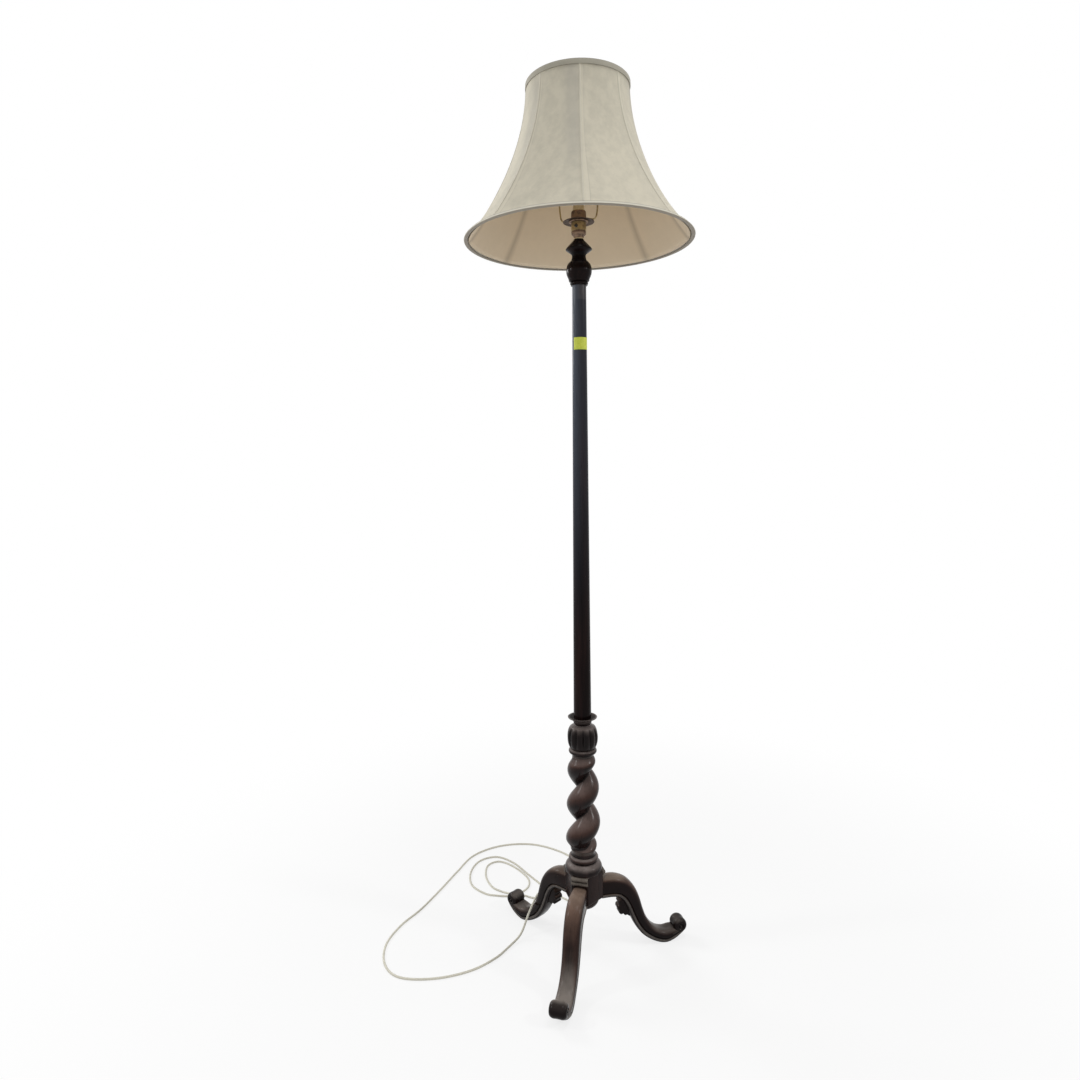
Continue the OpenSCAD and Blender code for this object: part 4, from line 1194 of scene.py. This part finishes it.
# %% Bound rims
def rim(outline, name, finish, node, grime_and_shade_at):
    """A bound rim. The last argument gives how dark it is at a radius and a height, from
    grime and from painted shade.
    """
    bm = turned(outline + outline[:1], 160)
    piece = keep(bm, name, finish, "shade", [node], 50)
    store(piece.data, "soil",
          [grime_and_shade_at(v.co.xy.length / MM, v.co.z / MM) for v in piece.data.vertices])
    return piece


r_top, r_low = bell(1808), bell(1518)
top_rim = rim([(bell(1803) + 0.1, 1803), (r_top + 1.3, 1803.2), (r_top + 1.5, 1804.4)]
              + arc(r_top + 0.2, 1811.6, 1.2, 1.4, 0, 90, 5)
              + arc(r_top - 4.6, 1811.8, 1.2, 1.2, 90, 180, 5)
              + [(r_top - 5.8, 1806), (r_top - 5.2, 1806), (r_top - 5.0, 1811.6),
                 (r_top - 0.1, 1811.7)], "top_rim_bound", top_cloth, "top_trim",
              lambda r, z: 1.0 if z > 1812 else 0.0)
# The low rim is darker along its bottom edge, and painted shade darkens its inner side.
low_rim = rim([(bell(1523.6), 1523.6), (bell(1523.4) + 0.9, 1523.2),
               (bell(1521) + 1.4, 1520.8)]
              + arc(r_low + 0.3, 1518.4, 1.5, 2.2, 0, -90, 7)
              + arc(r_low - 4.4, 1517.6, 1.4, 1.4, -90, -180, 5)
              + [(r_low - 5.8, 1520.5), (r_low - 5.1, 1520.5), (r_low - 4.9, 1517.9),
                 (r_low - 0.9, 1517.6)], "low_rim_bound", low_cloth, "bottom_trim",
              lambda r, z: min(1.0, max(0.0, (1518.4 - z) / 1.2) + (r < r_low - 2)))

TURN * bell(shade_low + 1) * MM
TURN * bell(shade_low + 5) * MM

# %% [markdown]
# ## What holds the shade
# A ring drops over the carrier, and two pivots on it carry the four struts of the shade,
# so that the shade can turn and tilt. These are thin coated wires, copied from the frame
# with rounded edges.

# %% Shade fitting
dress("fitter_ring", wire_coat, 0.25)
dress("gimbal_struts", wire_coat, 0.15)
dress("pivot_pins", steel, 0.2)

# %% [markdown]
# ## Flex outlet and plug
# A rubber bush lines the hole in the hub. The plug is moulded in two halves with rounded
# corners. It lies on its back behind the hub, with its pins up.

# %% Bush and plug
dress("cord_grommet", rubber, 0.5)
plug = [dress("plug_cover", white_plastic, 1.2),
        dress("plug_base", white_plastic, 0.8),
        dress("plug_pins", pale_brass, 0.5)]

# %% Finishes of the pieces inside
inner = {"leg_dowels": dowel_wood, "threaded_nipple": brass, "insulator": phenolic,
         "terminal_screws": brass, "plunger_springs": steel, "contact_plungers": brass,
         "bulb_contacts": steel, "shade_top_ring": wire_coat, "shade_ribs": wire_coat,
         "shade_bottom_ring": wire_coat, "inner_flex": sheath, "plug_fuse": steel,
         "plug_cord_grip": brass, "plug_screws": steel}
for name, finish in inner.items():
    data = frame["nodes"][name].data
    data.materials.clear()
    data.materials.append(finish.material)
print("inner pieces finished:", len(inner))
